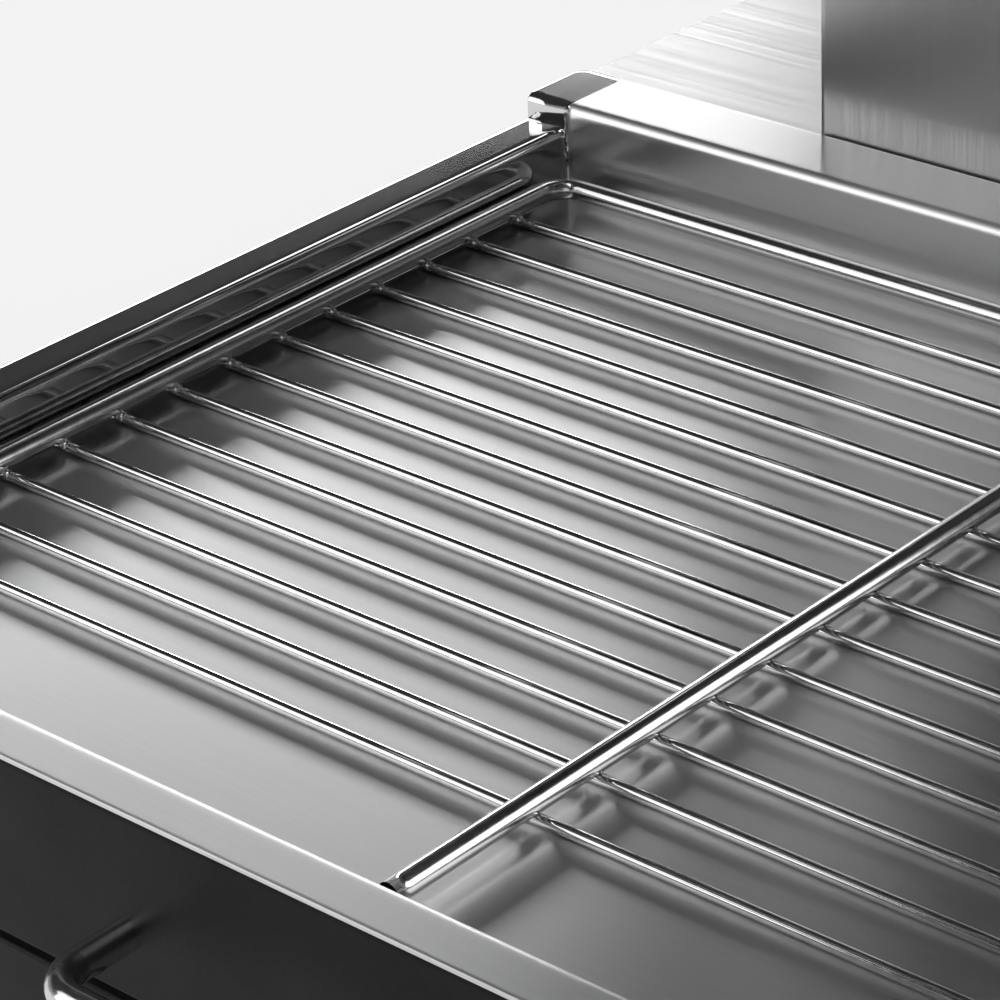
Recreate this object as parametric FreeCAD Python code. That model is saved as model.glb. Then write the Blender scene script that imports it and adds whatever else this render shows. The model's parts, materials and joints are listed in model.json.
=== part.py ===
import FreeCAD, Part
import math
import os

# A small lift-type salamander grill, in millimetres. +Z is up and -Y is the front.
# The origin is on the table, under the middle of the whole grill.

V = FreeCAD.Vector
X = V(1, 0, 0)
Y = V(0, 1, 0)
Z = V(0, 0, 1)

# Sheet steel and general clearances
sheet = 1.2
thin_sheet = 1.0
front_sheet = 1.5
slip_gap = 0.5
touch_gap = 0.2
running_clearance = 0.05
hole_clearance = 0.25
edge_round = 3.0
cut_over = 5.0

# Grill pan
pan_inside_width = 446.0
pan_inside_depth = 326.0
pan_rim_height = 19.5
pan_back_height = 27.0
pan_side_flange = 14.0
pan_front_flange = 14.5
pan_back_flange = 25.0
pan_bend = 2.0
pan_rim_bend = 2.7
pan_corner = 3.0
pan_edge_corner = 4.0

# Rack
rod_diameter = 6.0
wire_diameter = 3.0
wire_pitch = 20.0
wire_count = 13
wire_drift = 1.9
rack_side_gap = 8.0
rack_shift = -3.2
rack_front_gap = 5.6
rack_back_gap = 5.6
rack_corner = 9.0
rest_gap = 0.1
weld_sink = 0.2
weld_bead = 1.7
wire_overhang = 1.5

# Base
foot_height = 18.0
foot_inset = 34.0
foot_side_inset = 32.0
foot_base = 28.0
foot_top = 34.0
foot_edge = 0.8
foot_bore = 5.2
foot_recess = 11.0
foot_recess_depth = 8.0
foot_nut = 8.0
foot_nut_thickness = 4.0
foot_screw_end = 5.5
floor_slot_rows = 4
floor_slot_columns = 7
floor_slot_pitch = 40.0
floor_slot_row_pitch = 22.0
floor_slot_front = 60.0
floor_slot_length = 28.0
floor_slot_width = 5.0
floor_slot_round = 2.4
floor_screw_inset = 70.0
sheet_screw_length = 6.0
base_height = 106.0
side_overhang = 2.0
front_overhang = 2.5
column_gap = 1.0
base_lip = 12.0
ledge_clearance = 1.0
fascia_height = 52.0
fascia_bottom_gap = 2.0
fascia_fold = 12.0
panel_round = 1.0
drawer_front_gap = 2.0
drawer_front_height = 47.5
rail_width = 6.5
rail_leg = 16.0
rail_tab = 3.0
rail_screw_drop = 10.0
rail_screw_length = 4.4
fascia_screw_inset = 8.0
divider_gap = 0.4
divider_front_gap = 0.3
divider_inset = 20.0
column_well_inset = 20.0
well_back_room = 15.0
well_corner = 6.0

# Crumb drawer
drawer_tray_height = 22.0
drawer_tray_depth = 300.0
drawer_side_room = 20.0
drawer_top_gap = 3.0
drawer_corner = 3.0
drawer_lip_end = 4.0
drawer_screw_length = 9.0
drawer_handle_thread = 7.0
drawer_lip = 9.0
runner_height = 14.0
runner_room = 1.0
runner_past_tray = 8.0
drawer_lift_gap = 0.3
drawer_handle_width = 120.0
drawer_handle_rod = 8.0
drawer_handle_reach = 24.0
drawer_handle_bend = 10.0

# Controls
control_z_share = 0.5
knob_spacing = 80.0
knob_edge_distance = 60.0
knob_diameter = 40.0
knob_height = 20.0
knob_skirt = 46.0
knob_skirt_height = 4.0
knob_gap = 1.2
knob_edge = 0.6
knob_round = 3.4
knob_draft = 1.2
knob_nut_room = 2.5
knob_top_wall = 3.0
knob_flutes = 10
flute_diameter = 6.4
flute_out = 1.8
pointer_width = 2.4
pointer_depth = 1.0
pointer_start = 4.0
pointer_inset = 4.2
shaft_share = 0.5
shaft_diameter = 6.0
regulator_size = 32.0
regulator_depth = 38.0
case_round = 2.0
blade_spacing = 16.0
blade_width = 6.4
blade_length = 8.0
blade_thickness = 0.8
neck_diameter = 12.0
neck_length = 8.0
neck_nut = 16.0
nut_thickness = 3.0
lamp_edge_distance = 75.0
lamp_spacing = 26.0
lamp_diameter = 10.0
lamp_bezel = 14.0
lamp_depth = 22.0
lamp_bore = 7.2
lens_diameter = 7.0
lens_depth = 4.0
lens_rise = 2.2
lens_dome = 6.4
bezel_edge = 1.2
bezel_height = 2.2
switch_edge_distance = 35.0
switch_width = 22.0
switch_height = 30.0
switch_frame = 3.0
switch_depth = 26.0
switch_pivot_depth = 1.5
switch_pocket_depth = 14.0
switch_wall = 2.0
switch_pin = 2.4
switch_tilt = 8.0
switch_rim = 2.0

# Rear fittings
gland_thread = 16.0
gland_bore = 10.0
gland_reach = 18.0
gland_flange = 24.0
gland_flange_thickness = 5.0
gland_dome = 21.0
gland_thread_length = 9.0
gland_nut = 22.0
gland_nut_thickness = 4.0
stud_length = 24.0
stud_inside = 8.0
stud_nut = 8.0
stud_inner_nut = 3.0
stud_outer_nut = 4.0
stud_washer = 10.0
stud_washer_thickness = 1.0
base_ways = 5
base_way_pitch = 9.5
base_block_width = 48.0
base_block_depth = 24.0
base_block_top = 24.0
base_block_back = 90.0
base_block_foot = 4.0
base_block_foot_side = 2.0
base_way_width = 6.0
base_way_depth = 6.0
base_way_bottom = 10.0
gland_edge_distance = 85.0
stud_edge_distance = 40.0
rear_fitting_height = 32.0
vent_rows = 3
vent_count = 4
vent_pitch = 34.0
vent_length = 24.0
vent_width = 5.0
vent_x = -75.0
vent_low = 30.0
vent_row_pitch = 14.0

# Column
column_width = 300.0
column_depth = 92.0
cap_room = 11.2
cap_height = 3.0
cap_round = 1.2
cap_skirt = 8.0
cap_skirt_inset = 4.0
cap_skirt_back_inset = 5.0
cap_skirt_wall = 2.0
slot_clearance = 4.0
column_lip_end = 4.0
panel_screw_end = 20.0
panel_screw_rows = 4
rear_vent_rows = 8
rear_vent_length = 60.0
rear_vent_x = 50.0
rear_vent_top = 40.0
shaft_spacing = 208.0
guide_diameter = 16.0
shaft_back_room = 52.0
shaft_plate = 6.0
shaft_plate_margin = 3.0
panel_screw_room = 5.0
lower_plate_gap = 2.0
plate_leg = 30.0
plate_ear = 4.0
plate_ear_height = 20.0
plate_front = 6.0

# Lift
lift_travel = 200.0
raised_gap = 250.0
carriage_thickness = 6.0
carriage_height = 78.0
bush_wall = 3.0
bush_housing_width = 36.0
bush_housing_depth = 32.0
bush_length = 26.0
arm_spacing = 132.0
arm_width = 24.0
arm_height = 56.0
arm_wall = 2.5
arm_round = 2.0
buffer_diameter = 28.0
buffer_gap = 0.5
top_buffer = 18.0
carriage_raise = 4.0
housing_round = 4.0
housing_screw_spacing = 27.0

# Counterbalance strut
strut_diameter = 20.0
strut_wall = 1.5
strut_rod_diameter = 8.0
strut_pin_above = 6.9
strut_end_wall = 4.0
piston_length = 8.0
strut_plate_gap = 2.0
strut_pin = 6.0
strut_pin_overhang = 1.7
strut_ear = 3.0
strut_eye_width = 8.0
strut_eye_depth = 12.0
strut_eye_height = 9.0
strut_ear_gap = 0.3
strut_ear_rise = 9.0
strut_spare = 8.0
strut_foot_height = 10.0
strut_pin_rise = 4.0
strut_base_plate = 0.8
strut_base_size = 28.0
strut_seal_length = 20.0
carriage_rise_width = 48.0

# Head
head_height = 112.0
head_side_overhang = 2.0
head_front_setback = 14.0
head_back_gap = 10.0
head_corner = 8.0
head_top_round = 5.0
head_lip = 12.0
head_mouth_corner = 4.0
head_vent_rows = 3
head_vent_count = 6
head_vent_front = 90.0
head_vent_pitch = 30.0
head_vent_length = 22.5
head_vent_width = 4.5
head_vent_drop = 26.0
head_vent_row_pitch = 11.0
head_screw_rise = 12.0
head_screw_inset = 40.0
head_screw_length = 4.0
reflector_depth = 38.0
reflector_side_margin = 15.0
reflector_front_margin = 14.0
wiring_room = 50.0
reflector_flange = 9.0
reflector_back_flange = 6.0
reflector_corner = 6.0
insulation_thickness = 24.0
insulation_gap = 1.0
insulation_inset = 4.0
shield_margin = 6.0
shield_tab_front = 25.0
shield_tab_back = 15.0
mount_bar = 4.0
mount_bar_gap = 12.0
mount_bar_reach = 50.0
mount_bar_leg = 14.0
mount_bar_sheet = 3.0
mount_bar_drop = 2.0
head_block_rise = 6.0
head_block_wall = 3.0
head_ways = 4
way_pitch = 10.0
head_block_depth = 18.0
head_block_height = 20.0
element_diameter = 8.0
element_bend = 25.0
element_middle_share = 1.35
element_drop = 20.0
element_front_room = 14.0
element_back_room = 14.0
element_tail = 22.0
terminal_bush = 14.0
terminal_bush_length = 12.0
terminal_pin = 3.0
terminal_pin_length = 14.0
hanger_sheet = 1.5
hanger_drop = 9.0
hanger_inset = 61.25
guard_wire = 2.5
guard_pitch = 24.0
guard_drop = 6.0
guard_margin = 30.0
guard_overhang = 3.0
head_rail_thickness = 3.0
head_rail_inset = 20.0
head_rail_low = 5.0
head_rail_high = 19.0

# Lift handle
handle_tube = 18.0
handle_wall = 1.5
handle_width = 300.0
handle_reach = 36.0
handle_rise = 28.0
bracket_width = 16.0
bracket_screw_spacing = 20.0
bracket_thread = 8.0
backing_plate = 2.0
backing_height = 28.0
handle_overhang = 14.0
handle_cap = 2.5
handle_cap_round = 1.2
handle_plug = 8.0
collar_wall = 4.0

# Screws
m3 = 3.0
m4 = 4.0
m5 = 5.0
head_share = 1.9
head_height_share = 0.55

# Derived places of the pan and base
base_width = pan_inside_width + 2 * (pan_side_flange - side_overhang)
base_depth = (pan_front_flange - front_overhang + pan_inside_depth + pan_back_flange
              + column_gap + column_depth)
base_half = base_width / 2
handle_front = handle_reach + handle_tube / 2 + collar_wall - head_front_setback
base_middle = (handle_front - gland_reach) / 2
base_front = base_middle - base_depth / 2
base_back = base_middle + base_depth / 2
floor_z = foot_height
ledge_z = foot_height + base_height
deck_z = ledge_z + pan_back_height - pan_rim_height
pan_half = pan_inside_width / 2
pan_front = base_front + pan_front_flange - front_overhang
pan_back = pan_front + pan_inside_depth
pan_floor = ledge_z + sheet - pan_rim_height
pan_back_top = pan_floor + pan_back_height
column_front = pan_back + pan_back_flange + column_gap
column_half = column_width / 2
inner_half = base_half - sheet
open_front = pan_front - sheet - ledge_clearance
open_back = pan_back + sheet + ledge_clearance
open_half = pan_half + sheet + ledge_clearance

knob_right_x = base_half - knob_edge_distance
lamp_x = lamp_edge_distance - base_half
switch_x = switch_edge_distance - base_half
gland_x = base_half - gland_edge_distance
stud_x = base_half - stud_edge_distance

# Derived places of the rack
wire_z = pan_floor + rest_gap + wire_diameter / 2
rack_rod_z = wire_z + (wire_diameter + rod_diameter) / 2 - weld_sink
rack_width = pan_inside_width - 2 * rack_side_gap
rack_left = rack_shift - rack_width / 2
rack_right = rack_shift + rack_width / 2
rack_front = pan_front + rack_front_gap + rod_diameter / 2
rack_back = pan_back - rack_back_gap - rod_diameter / 2

# Derived places of the front
fascia_bottom = floor_z + fascia_bottom_gap
fascia_top = fascia_bottom + fascia_height
drawer_front_bottom = fascia_top + drawer_front_gap
drawer_front_top = drawer_front_bottom + drawer_front_height
control_z = fascia_bottom + fascia_height * control_z_share
fascia_back = base_front + front_sheet
drawer_top = pan_floor - sheet - drawer_top_gap
drawer_bottom = drawer_top - drawer_tray_height
return_front = fascia_back + touch_gap

# Derived places of the lift
shaft_x = shaft_spacing / 2
shaft_y = base_back - shaft_back_room
head_bottom = wire_z + raised_gap
head_top = head_bottom + head_height
head_half = base_half - head_side_overhang
head_front = base_front + head_front_setback
head_back = column_front - head_back_gap
carriage_front = shaft_y - bush_housing_depth / 2 - carriage_thickness
carriage_bottom = head_bottom + (head_height - carriage_height) / 2 + carriage_raise
carriage_top = carriage_bottom + carriage_height
arm_x = arm_spacing / 2
arm_bottom = carriage_bottom + (carriage_height - arm_height) / 2
arm_top = arm_bottom + arm_height
lower_plate_z = deck_z + lower_plate_gap
strut_foot_z = floor_z + sheet + strut_foot_height
top_pin_z = carriage_top + strut_pin_above
rod_top = top_pin_z - strut_pin_rise
strut_length = rod_top - strut_spare - lift_travel - strut_foot_z
upper_plate_z = carriage_top + top_buffer
column_top = upper_plate_z + shaft_plate + cap_room
column_height = column_top - deck_z
reflector_back = head_back - wiring_room
reflector_front = head_front + reflector_front_margin
reflector_half = head_half - reflector_side_margin
reflector_bottom = head_bottom + sheet
reflector_top = reflector_bottom + reflector_depth
element_z = reflector_top - element_drop
mount_bar_back = reflector_back + mount_bar_gap


def box(x0, x1, y0, y1, z0, z1):
    return Part.makeBox(x1 - x0, y1 - y0, z1 - z0, V(x0, y0, z0))


def bar(start, direction, length, diameter):
    """A round bar from a start point."""
    return Part.makeCylinder(diameter / 2, length, start, direction)


def ring(start, direction, length, outer, inner):
    """A round tube, or a washer when it is short."""
    return bar(start, direction, length, outer).cut(
        bar(start - direction, direction, length + 2, inner))


def rounded_outline(x0, x1, y0, y1, radius, z):
    """A rectangle with four corner arcs, at height z."""
    diagonal = radius * (1 - math.sqrt(0.5))
    corners = [(x0, y0, 1, 1), (x1, y0, -1, 1), (x1, y1, -1, -1), (x0, y1, 1, -1)]
    edges = []
    ends = []
    for number, (x, y, sx, sy) in enumerate(corners):
        along_x = V(x + sx * radius, y, z)
        along_y = V(x, y + sy * radius, z)
        middle = V(x + sx * diagonal, y + sy * diagonal, z)
        first, last = (along_y, along_x) if number % 2 == 0 else (along_x, along_y)
        edges.append(Part.Arc(first, middle, last).toShape())
        ends.append((first, last))
    for number in range(4):
        start = ends[number][1]
        end = ends[(number + 1) % 4][0]
        edges.append(Part.LineSegment(start, end).toShape())
    return Part.Wire(Part.__sortEdges__(edges))


def slab(x0, x1, y0, y1, z0, z1, radius):
    """A plate or block with rounded upright corners."""
    outline = rounded_outline(x0, x1, y0, y1, radius, z0)
    return Part.Face(outline).extrude(V(0, 0, z1 - z0))


def round_edges(shape, radius, wanted):
    """Round the edges whose middle passes the test."""
    picked = []
    for edge in shape.Edges:
        middle = edge.valueAt((edge.FirstParameter + edge.LastParameter) / 2)
        if wanted(edge, middle):
            picked.append(edge)
    return shape.makeFillet(radius, picked)


def near(value, target, slack=0.01):
    return abs(value - target) < slack


def runs_along_y(edge):
    return abs(edge.tangentAt(edge.FirstParameter).y) > 0.9


def upright(edge):
    return edge.Curve.TypeId == "Part::GeomLine" and abs(edge.tangentAt(edge.FirstParameter).z) > 0.99


def bent_rod(points, bend, diameter):
    """A round rod along straight runs, with one tangent arc at each inner point."""
    edges = []
    start = points[0]
    for index in range(1, len(points) - 1):
        corner = points[index]
        back = (points[index - 1] - corner).normalize()
        ahead = (points[index + 1] - corner).normalize()
        half = back.getAngle(ahead) / 2
        reach = bend / math.tan(half)
        first = corner + back * reach
        last = corner + ahead * reach
        bisector = (back + ahead).normalize()
        middle = corner + bisector * (bend / math.sin(half) - bend)
        if (first - start).Length > 0.001:
            edges.append(Part.LineSegment(start, first).toShape())
        edges.append(Part.Arc(first, middle, last).toShape())
        start = last
    if (points[-1] - start).Length > 0.001:
        edges.append(Part.LineSegment(start, points[-1]).toShape())
    path = Part.Wire(edges)
    heading = edges[0].tangentAt(edges[0].FirstParameter)
    section = Part.Wire(Part.makeCircle(diameter / 2, edges[0].valueAt(edges[0].FirstParameter),
                                        heading))
    return path.makePipeShell([section], True, False)


def screw(point, direction, size, length):
    """A pan-head screw: direction points the way the shank goes, from the seat of the head."""
    head = bar(point - direction * size * head_height_share, direction,
               size * head_height_share, size * head_share)
    socket = bar(point - direction * size * head_height_share, direction,
                 size * head_height_share * 0.5, size * 0.6)
    return head.fuse(bar(point, direction, length, size)).cut(socket).removeSplitter()


def screw_hole(point, direction, size, depth):
    return bar(point - direction * 1.0, direction, depth + 2.0, size + 2 * hole_clearance)


def tapped_hole(point, direction, size, depth):
    return bar(point - direction * 1.0, direction, depth + 2.0, size + 2 * running_clearance)


def hexagon(point, direction, across, length, bore):
    """A nut: six flats, with a bore."""
    corners = []
    side = X if abs(direction.x) < 0.5 else Y
    other = direction.cross(side)
    radius = across / math.sqrt(3)
    for step in range(7):
        angle = math.radians(60 * step)
        corners.append(point + side * (radius * math.cos(angle)) + other * (radius * math.sin(angle)))
    body = Part.Face(Part.makePolygon(corners)).extrude(direction * length)
    return body.cut(bar(point - direction, direction, length + 2, bore))


def turned(profile, point, direction):
    """A turned piece: profile is (radius, height) pairs, turned about the direction."""
    points = [V(radius, 0, height) for radius, height in profile]
    points.append(points[0])
    body = Part.Face(Part.makePolygon(points)).revolve(V(0, 0, 0), Z, 360)
    body.Placement = FreeCAD.Placement(point, FreeCAD.Rotation(Z, direction))
    return body


def grill_pan():
    """The shallow pan: a bent tray with a flange all round and a higher upstand at the back."""
    side = pan_half + pan_side_flange
    rim_z = ledge_z + sheet
    outer = slab(-pan_half - sheet, pan_half + sheet, pan_front - sheet, pan_back + sheet,
                 pan_floor - sheet, rim_z, pan_corner + sheet)
    outer = round_edges(outer, pan_bend + sheet, lambda edge, at: near(at.z, pan_floor - sheet))
    inner = slab(-pan_half, pan_half, pan_front, pan_back, pan_floor, pan_back_top + 1, pan_corner)
    inner = round_edges(inner, pan_bend, lambda edge, at: near(at.z, pan_floor))
    past_back = pan_back + sheet + pan_edge_corner
    flange = slab(-side, side, pan_front - pan_front_flange, past_back, ledge_z, rim_z,
                  pan_edge_corner)
    flange = flange.cut(box(-side, side, pan_back + sheet, past_back + 1, ledge_z - 1, rim_z + 1))
    body = outer.fuse(flange).removeSplitter().cut(inner).removeSplitter()
    body = round_edges(body, pan_rim_bend, is_rim)
    upstand = box(-side, side, pan_back, pan_back + sheet, ledge_z, pan_back_top)
    before_back = pan_back - pan_edge_corner
    back = slab(-side, side, before_back, pan_back + pan_back_flange, pan_back_top - sheet,
                pan_back_top, pan_edge_corner)
    back = back.cut(box(-side, side, before_back - 1, pan_back, pan_back_top - 2 * sheet,
                        pan_back_top + 1))
    body = body.fuse([upstand, back]).removeSplitter()
    return round_edges(body, pan_rim_bend,
                       lambda edge, at: near(at.z, pan_back_top) and near(at.y, pan_back))


def is_rim(edge, at):
    """The bend line where the pan's walls turn out into its flanges."""
    on_top = near(at.z, ledge_z + sheet)
    inside = abs(at.x) < pan_half + 0.1 and pan_front - 0.1 < at.y < pan_back + 0.1
    by_wall = abs(at.x) > pan_half - pan_corner - 0.1 or at.y < pan_front + pan_corner
    return on_top and inside and by_wall


def wire_places():
    """The y of each rack wire, from the back one to the front one."""
    first = rack_back - wire_pitch
    places = []
    for number in range(wire_count):
        drift = wire_drift * math.sin(math.pi * number / (wire_count - 1))
        places.append(first - number * wire_pitch + drift)
    return places


def rack():
    z = rack_rod_z
    middle_x = (rack_left + rack_right) / 2
    loop = [V(middle_x, rack_front, z), V(rack_right, rack_front, z), V(rack_right, rack_back, z),
            V(rack_left, rack_back, z), V(rack_left, rack_front, z), V(middle_x, rack_front, z)]
    frame = bent_rod(loop, rack_corner, rod_diameter)
    reach = (rod_diameter / 2) - weld_sink
    cross = bar(V(middle_x, rack_front + reach, z), Y, rack_back - rack_front - 2 * reach, rod_diameter)
    wires = []
    beads = []
    for y in wire_places():
        start = V(rack_left - wire_overhang, y, wire_z)
        wires.append(bar(start, X, rack_width + 2 * wire_overhang, wire_diameter))
        for x in (rack_left, middle_x, rack_right):
            side = 1 if x == rack_left else -1
            spot = V(x + side * rod_diameter * 0.3, y - wire_diameter * 0.2,
                     wire_z + wire_diameter * 0.45)
            beads.append(Part.makeSphere(weld_bead, spot))
    return {"rack_frame": [frame], "rack_cross_rod": [cross], "rack_wires": wires,
            "rack_welds": beads}


def base_shell():
    """The wrap: two sides and the back in one sheet, with ledges for the pan and a rear deck."""
    low = box(-base_half, base_half, base_front, base_back, floor_z, ledge_z)
    high = box(-base_half, base_half, open_back, base_back, floor_z, deck_z)
    body = low.fuse(high).removeSplitter()
    body = round_edges(body, edge_round,
                       lambda edge, at: upright(edge) and at.y > open_back + 1)
    room = box(-inner_half, inner_half, base_front - 1, open_back + sheet, floor_z - 1,
               ledge_z - sheet)
    rear_room = box(-inner_half, inner_half, open_back + sheet, base_back - sheet, floor_z - 1,
                    deck_z - sheet)
    body = body.cut(room).cut(rear_room)
    body = body.cut(box(-open_half, open_half, base_front - 1, open_back + sheet,
                        ledge_z - cut_over, deck_z + cut_over))
    well = column_half - column_well_inset
    body = body.cut(slab(-well, well, carriage_front, base_back - well_back_room,
                         deck_z - cut_over, deck_z + cut_over, well_corner))
    lips = []
    for side in (-1, 1):
        wall = side * inner_half
        lip = wall - side * base_lip
        low_x, high_x = sorted((wall, lip))
        lips.append(box(low_x, high_x, return_front, return_front + sheet, floor_z + sheet,
                        fascia_top))
        lips.append(box(low_x, high_x, return_front + sheet, base_back - sheet, floor_z + sheet,
                        floor_z + 2 * sheet))
    body = body.fuse(lips).removeSplitter()
    for point in floor_screw_points():
        body = body.cut(tapped_hole(point, Z, m4, sheet_screw_length))
    for point in fascia_screw_points():
        body = body.cut(tapped_hole(point, Y, m3, sheet_screw_length))
    for point in rail_screw_points():
        body = body.cut(screw_hole(point, V(-math.copysign(1, point.x), 0, 0), m4, sheet))
    for point, size in ((gland_point(), gland_thread), (stud_point(), m5)):
        body = body.cut(bar(point - Y * cut_over, Y, 2 * cut_over, size + 2 * hole_clearance))
    for row in range(vent_rows):
        for step in range(vent_count):
            x = vent_x + step * vent_pitch
            z = floor_z + vent_low + row * vent_row_pitch
            body = body.cut(slot_x(x, z, vent_length, vent_width))
    return body


def gland_point():
    return V(gland_x, base_back, floor_z + rear_fitting_height)


def stud_point():
    return V(stud_x, base_back, floor_z + rear_fitting_height)


def slot_x(x, z, length, width):
    """A cutter for a rounded slot along X, through a sheet at the back of the base."""
    radius = width / 2
    y0 = base_back - cut_over
    y1 = base_back + cut_over
    body = box(x - length / 2 + radius, x + length / 2 - radius, y0, y1, z - radius, z + radius)
    for end in (-1, 1):
        body = body.fuse(bar(V(x + end * (length / 2 - radius), y0, z), Y, y1 - y0, width))
    return body


def foot_points():
    x = base_half - foot_side_inset
    front = base_front + foot_inset
    back = base_back - foot_inset
    return [V(-x, front, 0), V(x, front, 0), V(-x, back, 0), V(x, back, 0)]


def floor_screw_points():
    x = inner_half - base_lip / 2
    return [V(side * x, y, floor_z) for side in (-1, 1)
            for y in (base_front + floor_screw_inset, base_middle, base_back - floor_screw_inset)]


def fascia_screw_points():
    x = inner_half - base_lip / 2
    low = fascia_bottom + fascia_screw_inset
    high = fascia_top - fascia_screw_inset
    return [V(side * x, base_front, z) for side in (-1, 1) for z in (low, high)]


def rail_screw_points():
    y = open_front - rail_width / 2
    return [V(side * base_half, y, ledge_z - rail_screw_drop) for side in (-1, 1)]


def base_floor():
    body = box(-inner_half + slip_gap / 2, inner_half - slip_gap / 2, base_front + slip_gap,
               base_back - sheet - slip_gap, floor_z, floor_z + sheet)
    for point in foot_points():
        body = body.cut(screw_hole(V(point.x, point.y, floor_z), Z, m5, sheet))
    for point in floor_screw_points():
        body = body.cut(screw_hole(point, Z, m4, sheet))
    half = floor_slot_length / 2
    for row in range(floor_slot_rows):
        front = base_middle - floor_slot_front + row * floor_slot_row_pitch
        for step in range(floor_slot_columns):
            x = (step - (floor_slot_columns - 1) / 2) * floor_slot_pitch
            slot = slab(x - half, x + half, front, front + floor_slot_width, floor_z - cut_over,
                        floor_z + cut_over, floor_slot_round)
            body = body.cut(slot)
    return body


def feet():
    """Rubber feet, each with a screw from below and a nut on the floor plate."""
    pads = []
    screws = []
    nuts = []
    bore = foot_bore / 2
    recess = foot_recess / 2
    profile = [(bore, foot_recess_depth), (recess, foot_recess_depth), (recess, 0.0),
               (foot_base / 2, 0.0), (foot_base / 2 + foot_edge, foot_edge),
               (foot_top / 2, foot_height), (bore, foot_height)]
    length = foot_height - foot_recess_depth + sheet + foot_screw_end
    for point in foot_points():
        pads.append(turned(profile, point, Z))
        screws.append(screw(point + Z * foot_recess_depth, Z, m5, length))
        nuts.append(hexagon(V(point.x, point.y, floor_z + sheet), Z, foot_nut, foot_nut_thickness,
                            m5 + 2 * running_clearance))
    return {"rubber_feet": pads, "foot_screws": screws + nuts}


def front_rail():
    """The angle that carries the pan's front flange, screwed between the two sides."""
    reach = inner_half - slip_gap / 2
    under = ledge_z - sheet
    back = open_front
    front = back - rail_width
    shelf = open_half - slip_gap
    body = box(-shelf, shelf, front, back, under, ledge_z)
    body = body.fuse(box(-reach, reach, back - sheet, back, ledge_z - rail_leg, under))
    for side in (-1, 1):
        x0, x1 = sorted((side * reach, side * (reach - rail_tab)))
        body = body.fuse(box(x0, x1, front, back, ledge_z - rail_leg, under))
    body = body.removeSplitter()
    for point in rail_screw_points():
        inward = V(-math.copysign(1, point.x), 0, 0)
        body = body.cut(tapped_hole(point, inward, m4, 2 * rail_tab))
    return body


def rail_screws():
    return [screw(point, V(-math.copysign(1, point.x), 0, 0), m4, rail_screw_length)
            for point in rail_screw_points()]


def divider():
    """A heat shield between the drawer and the controls."""
    reach = inner_half - slip_gap / 2
    z = fascia_top + divider_gap
    y = pan_back - divider_inset
    plate = box(-reach, reach, return_front + sheet + divider_front_gap, y, z,
                z + thin_sheet)
    back = box(-reach, reach, y, y + thin_sheet, floor_z + 3 * sheet, z + thin_sheet)
    return plate.fuse(back).removeSplitter()


def control_fascia():
    """The black panel: a folded channel with holes for the controls."""
    reach = inner_half - slip_gap
    body = box(-reach, reach, base_front, fascia_back, fascia_bottom, fascia_top)
    body = round_edges(body, panel_round, lambda edge, at: near(at.y, base_front))
    inside = reach - base_lip - 2 * slip_gap
    for z in (fascia_bottom, fascia_top - front_sheet):
        fold = box(-inside, inside, fascia_back, fascia_back + fascia_fold, z, z + front_sheet)
        body = body.fuse(fold)
    body = body.removeSplitter()
    through = front_sheet + 2
    for point in fascia_screw_points():
        body = body.cut(screw_hole(point, Y, m3, front_sheet))
    for x in knob_places():
        body = body.cut(bar(V(x, base_front - 1, control_z), Y, through,
                            neck_diameter + 2 * touch_gap))
    for x in lamp_places():
        body = body.cut(bar(V(x, base_front - 1, control_z), Y, through,
                            lamp_diameter + 2 * touch_gap))
    wide = switch_width / 2 + touch_gap
    tall = switch_height / 2 + touch_gap
    return body.cut(box(switch_x - wide, switch_x + wide, base_front - 1, base_front + through,
                        control_z - tall, control_z + tall))


def knob_places():
    return [knob_right_x - knob_spacing, knob_right_x]


def lamp_places():
    return [lamp_x, lamp_x + lamp_spacing]


def regulators():
    """Energy regulators behind the panel, each with a threaded neck and a nut."""
    bodies = []
    nuts = []
    half = regulator_size / 2
    for x in knob_places():
        case = box(x - half, x + half, fascia_back, fascia_back + regulator_depth,
                   control_z - half, control_z + half)
        case = round_edges(case, case_round, lambda edge, at: runs_along_y(edge))
        neck = bar(V(x, fascia_back - neck_length, control_z), Y, neck_length, neck_diameter)
        case = case.fuse(neck).removeSplitter()
        bore = shaft_diameter + 2 * running_clearance
        case = case.cut(bar(V(x, fascia_back - neck_length - 1, control_z), Y,
                            neck_length + 1 + regulator_depth * shaft_share, bore))
        back = fascia_back + regulator_depth
        for place in (x - blade_spacing / 2, x + blade_spacing / 2):
            blade = box(place - blade_width / 2, place + blade_width / 2, back, back + blade_length,
                        control_z - blade_thickness / 2, control_z + blade_thickness / 2)
            case = case.fuse(blade)
        bodies.append(case)
        nuts.append(hexagon(V(x, base_front - nut_thickness, control_z), Y, neck_nut,
                            nut_thickness, neck_diameter + 2 * running_clearance))
    return {"energy_regulators": bodies, "panel_nuts": nuts}


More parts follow.
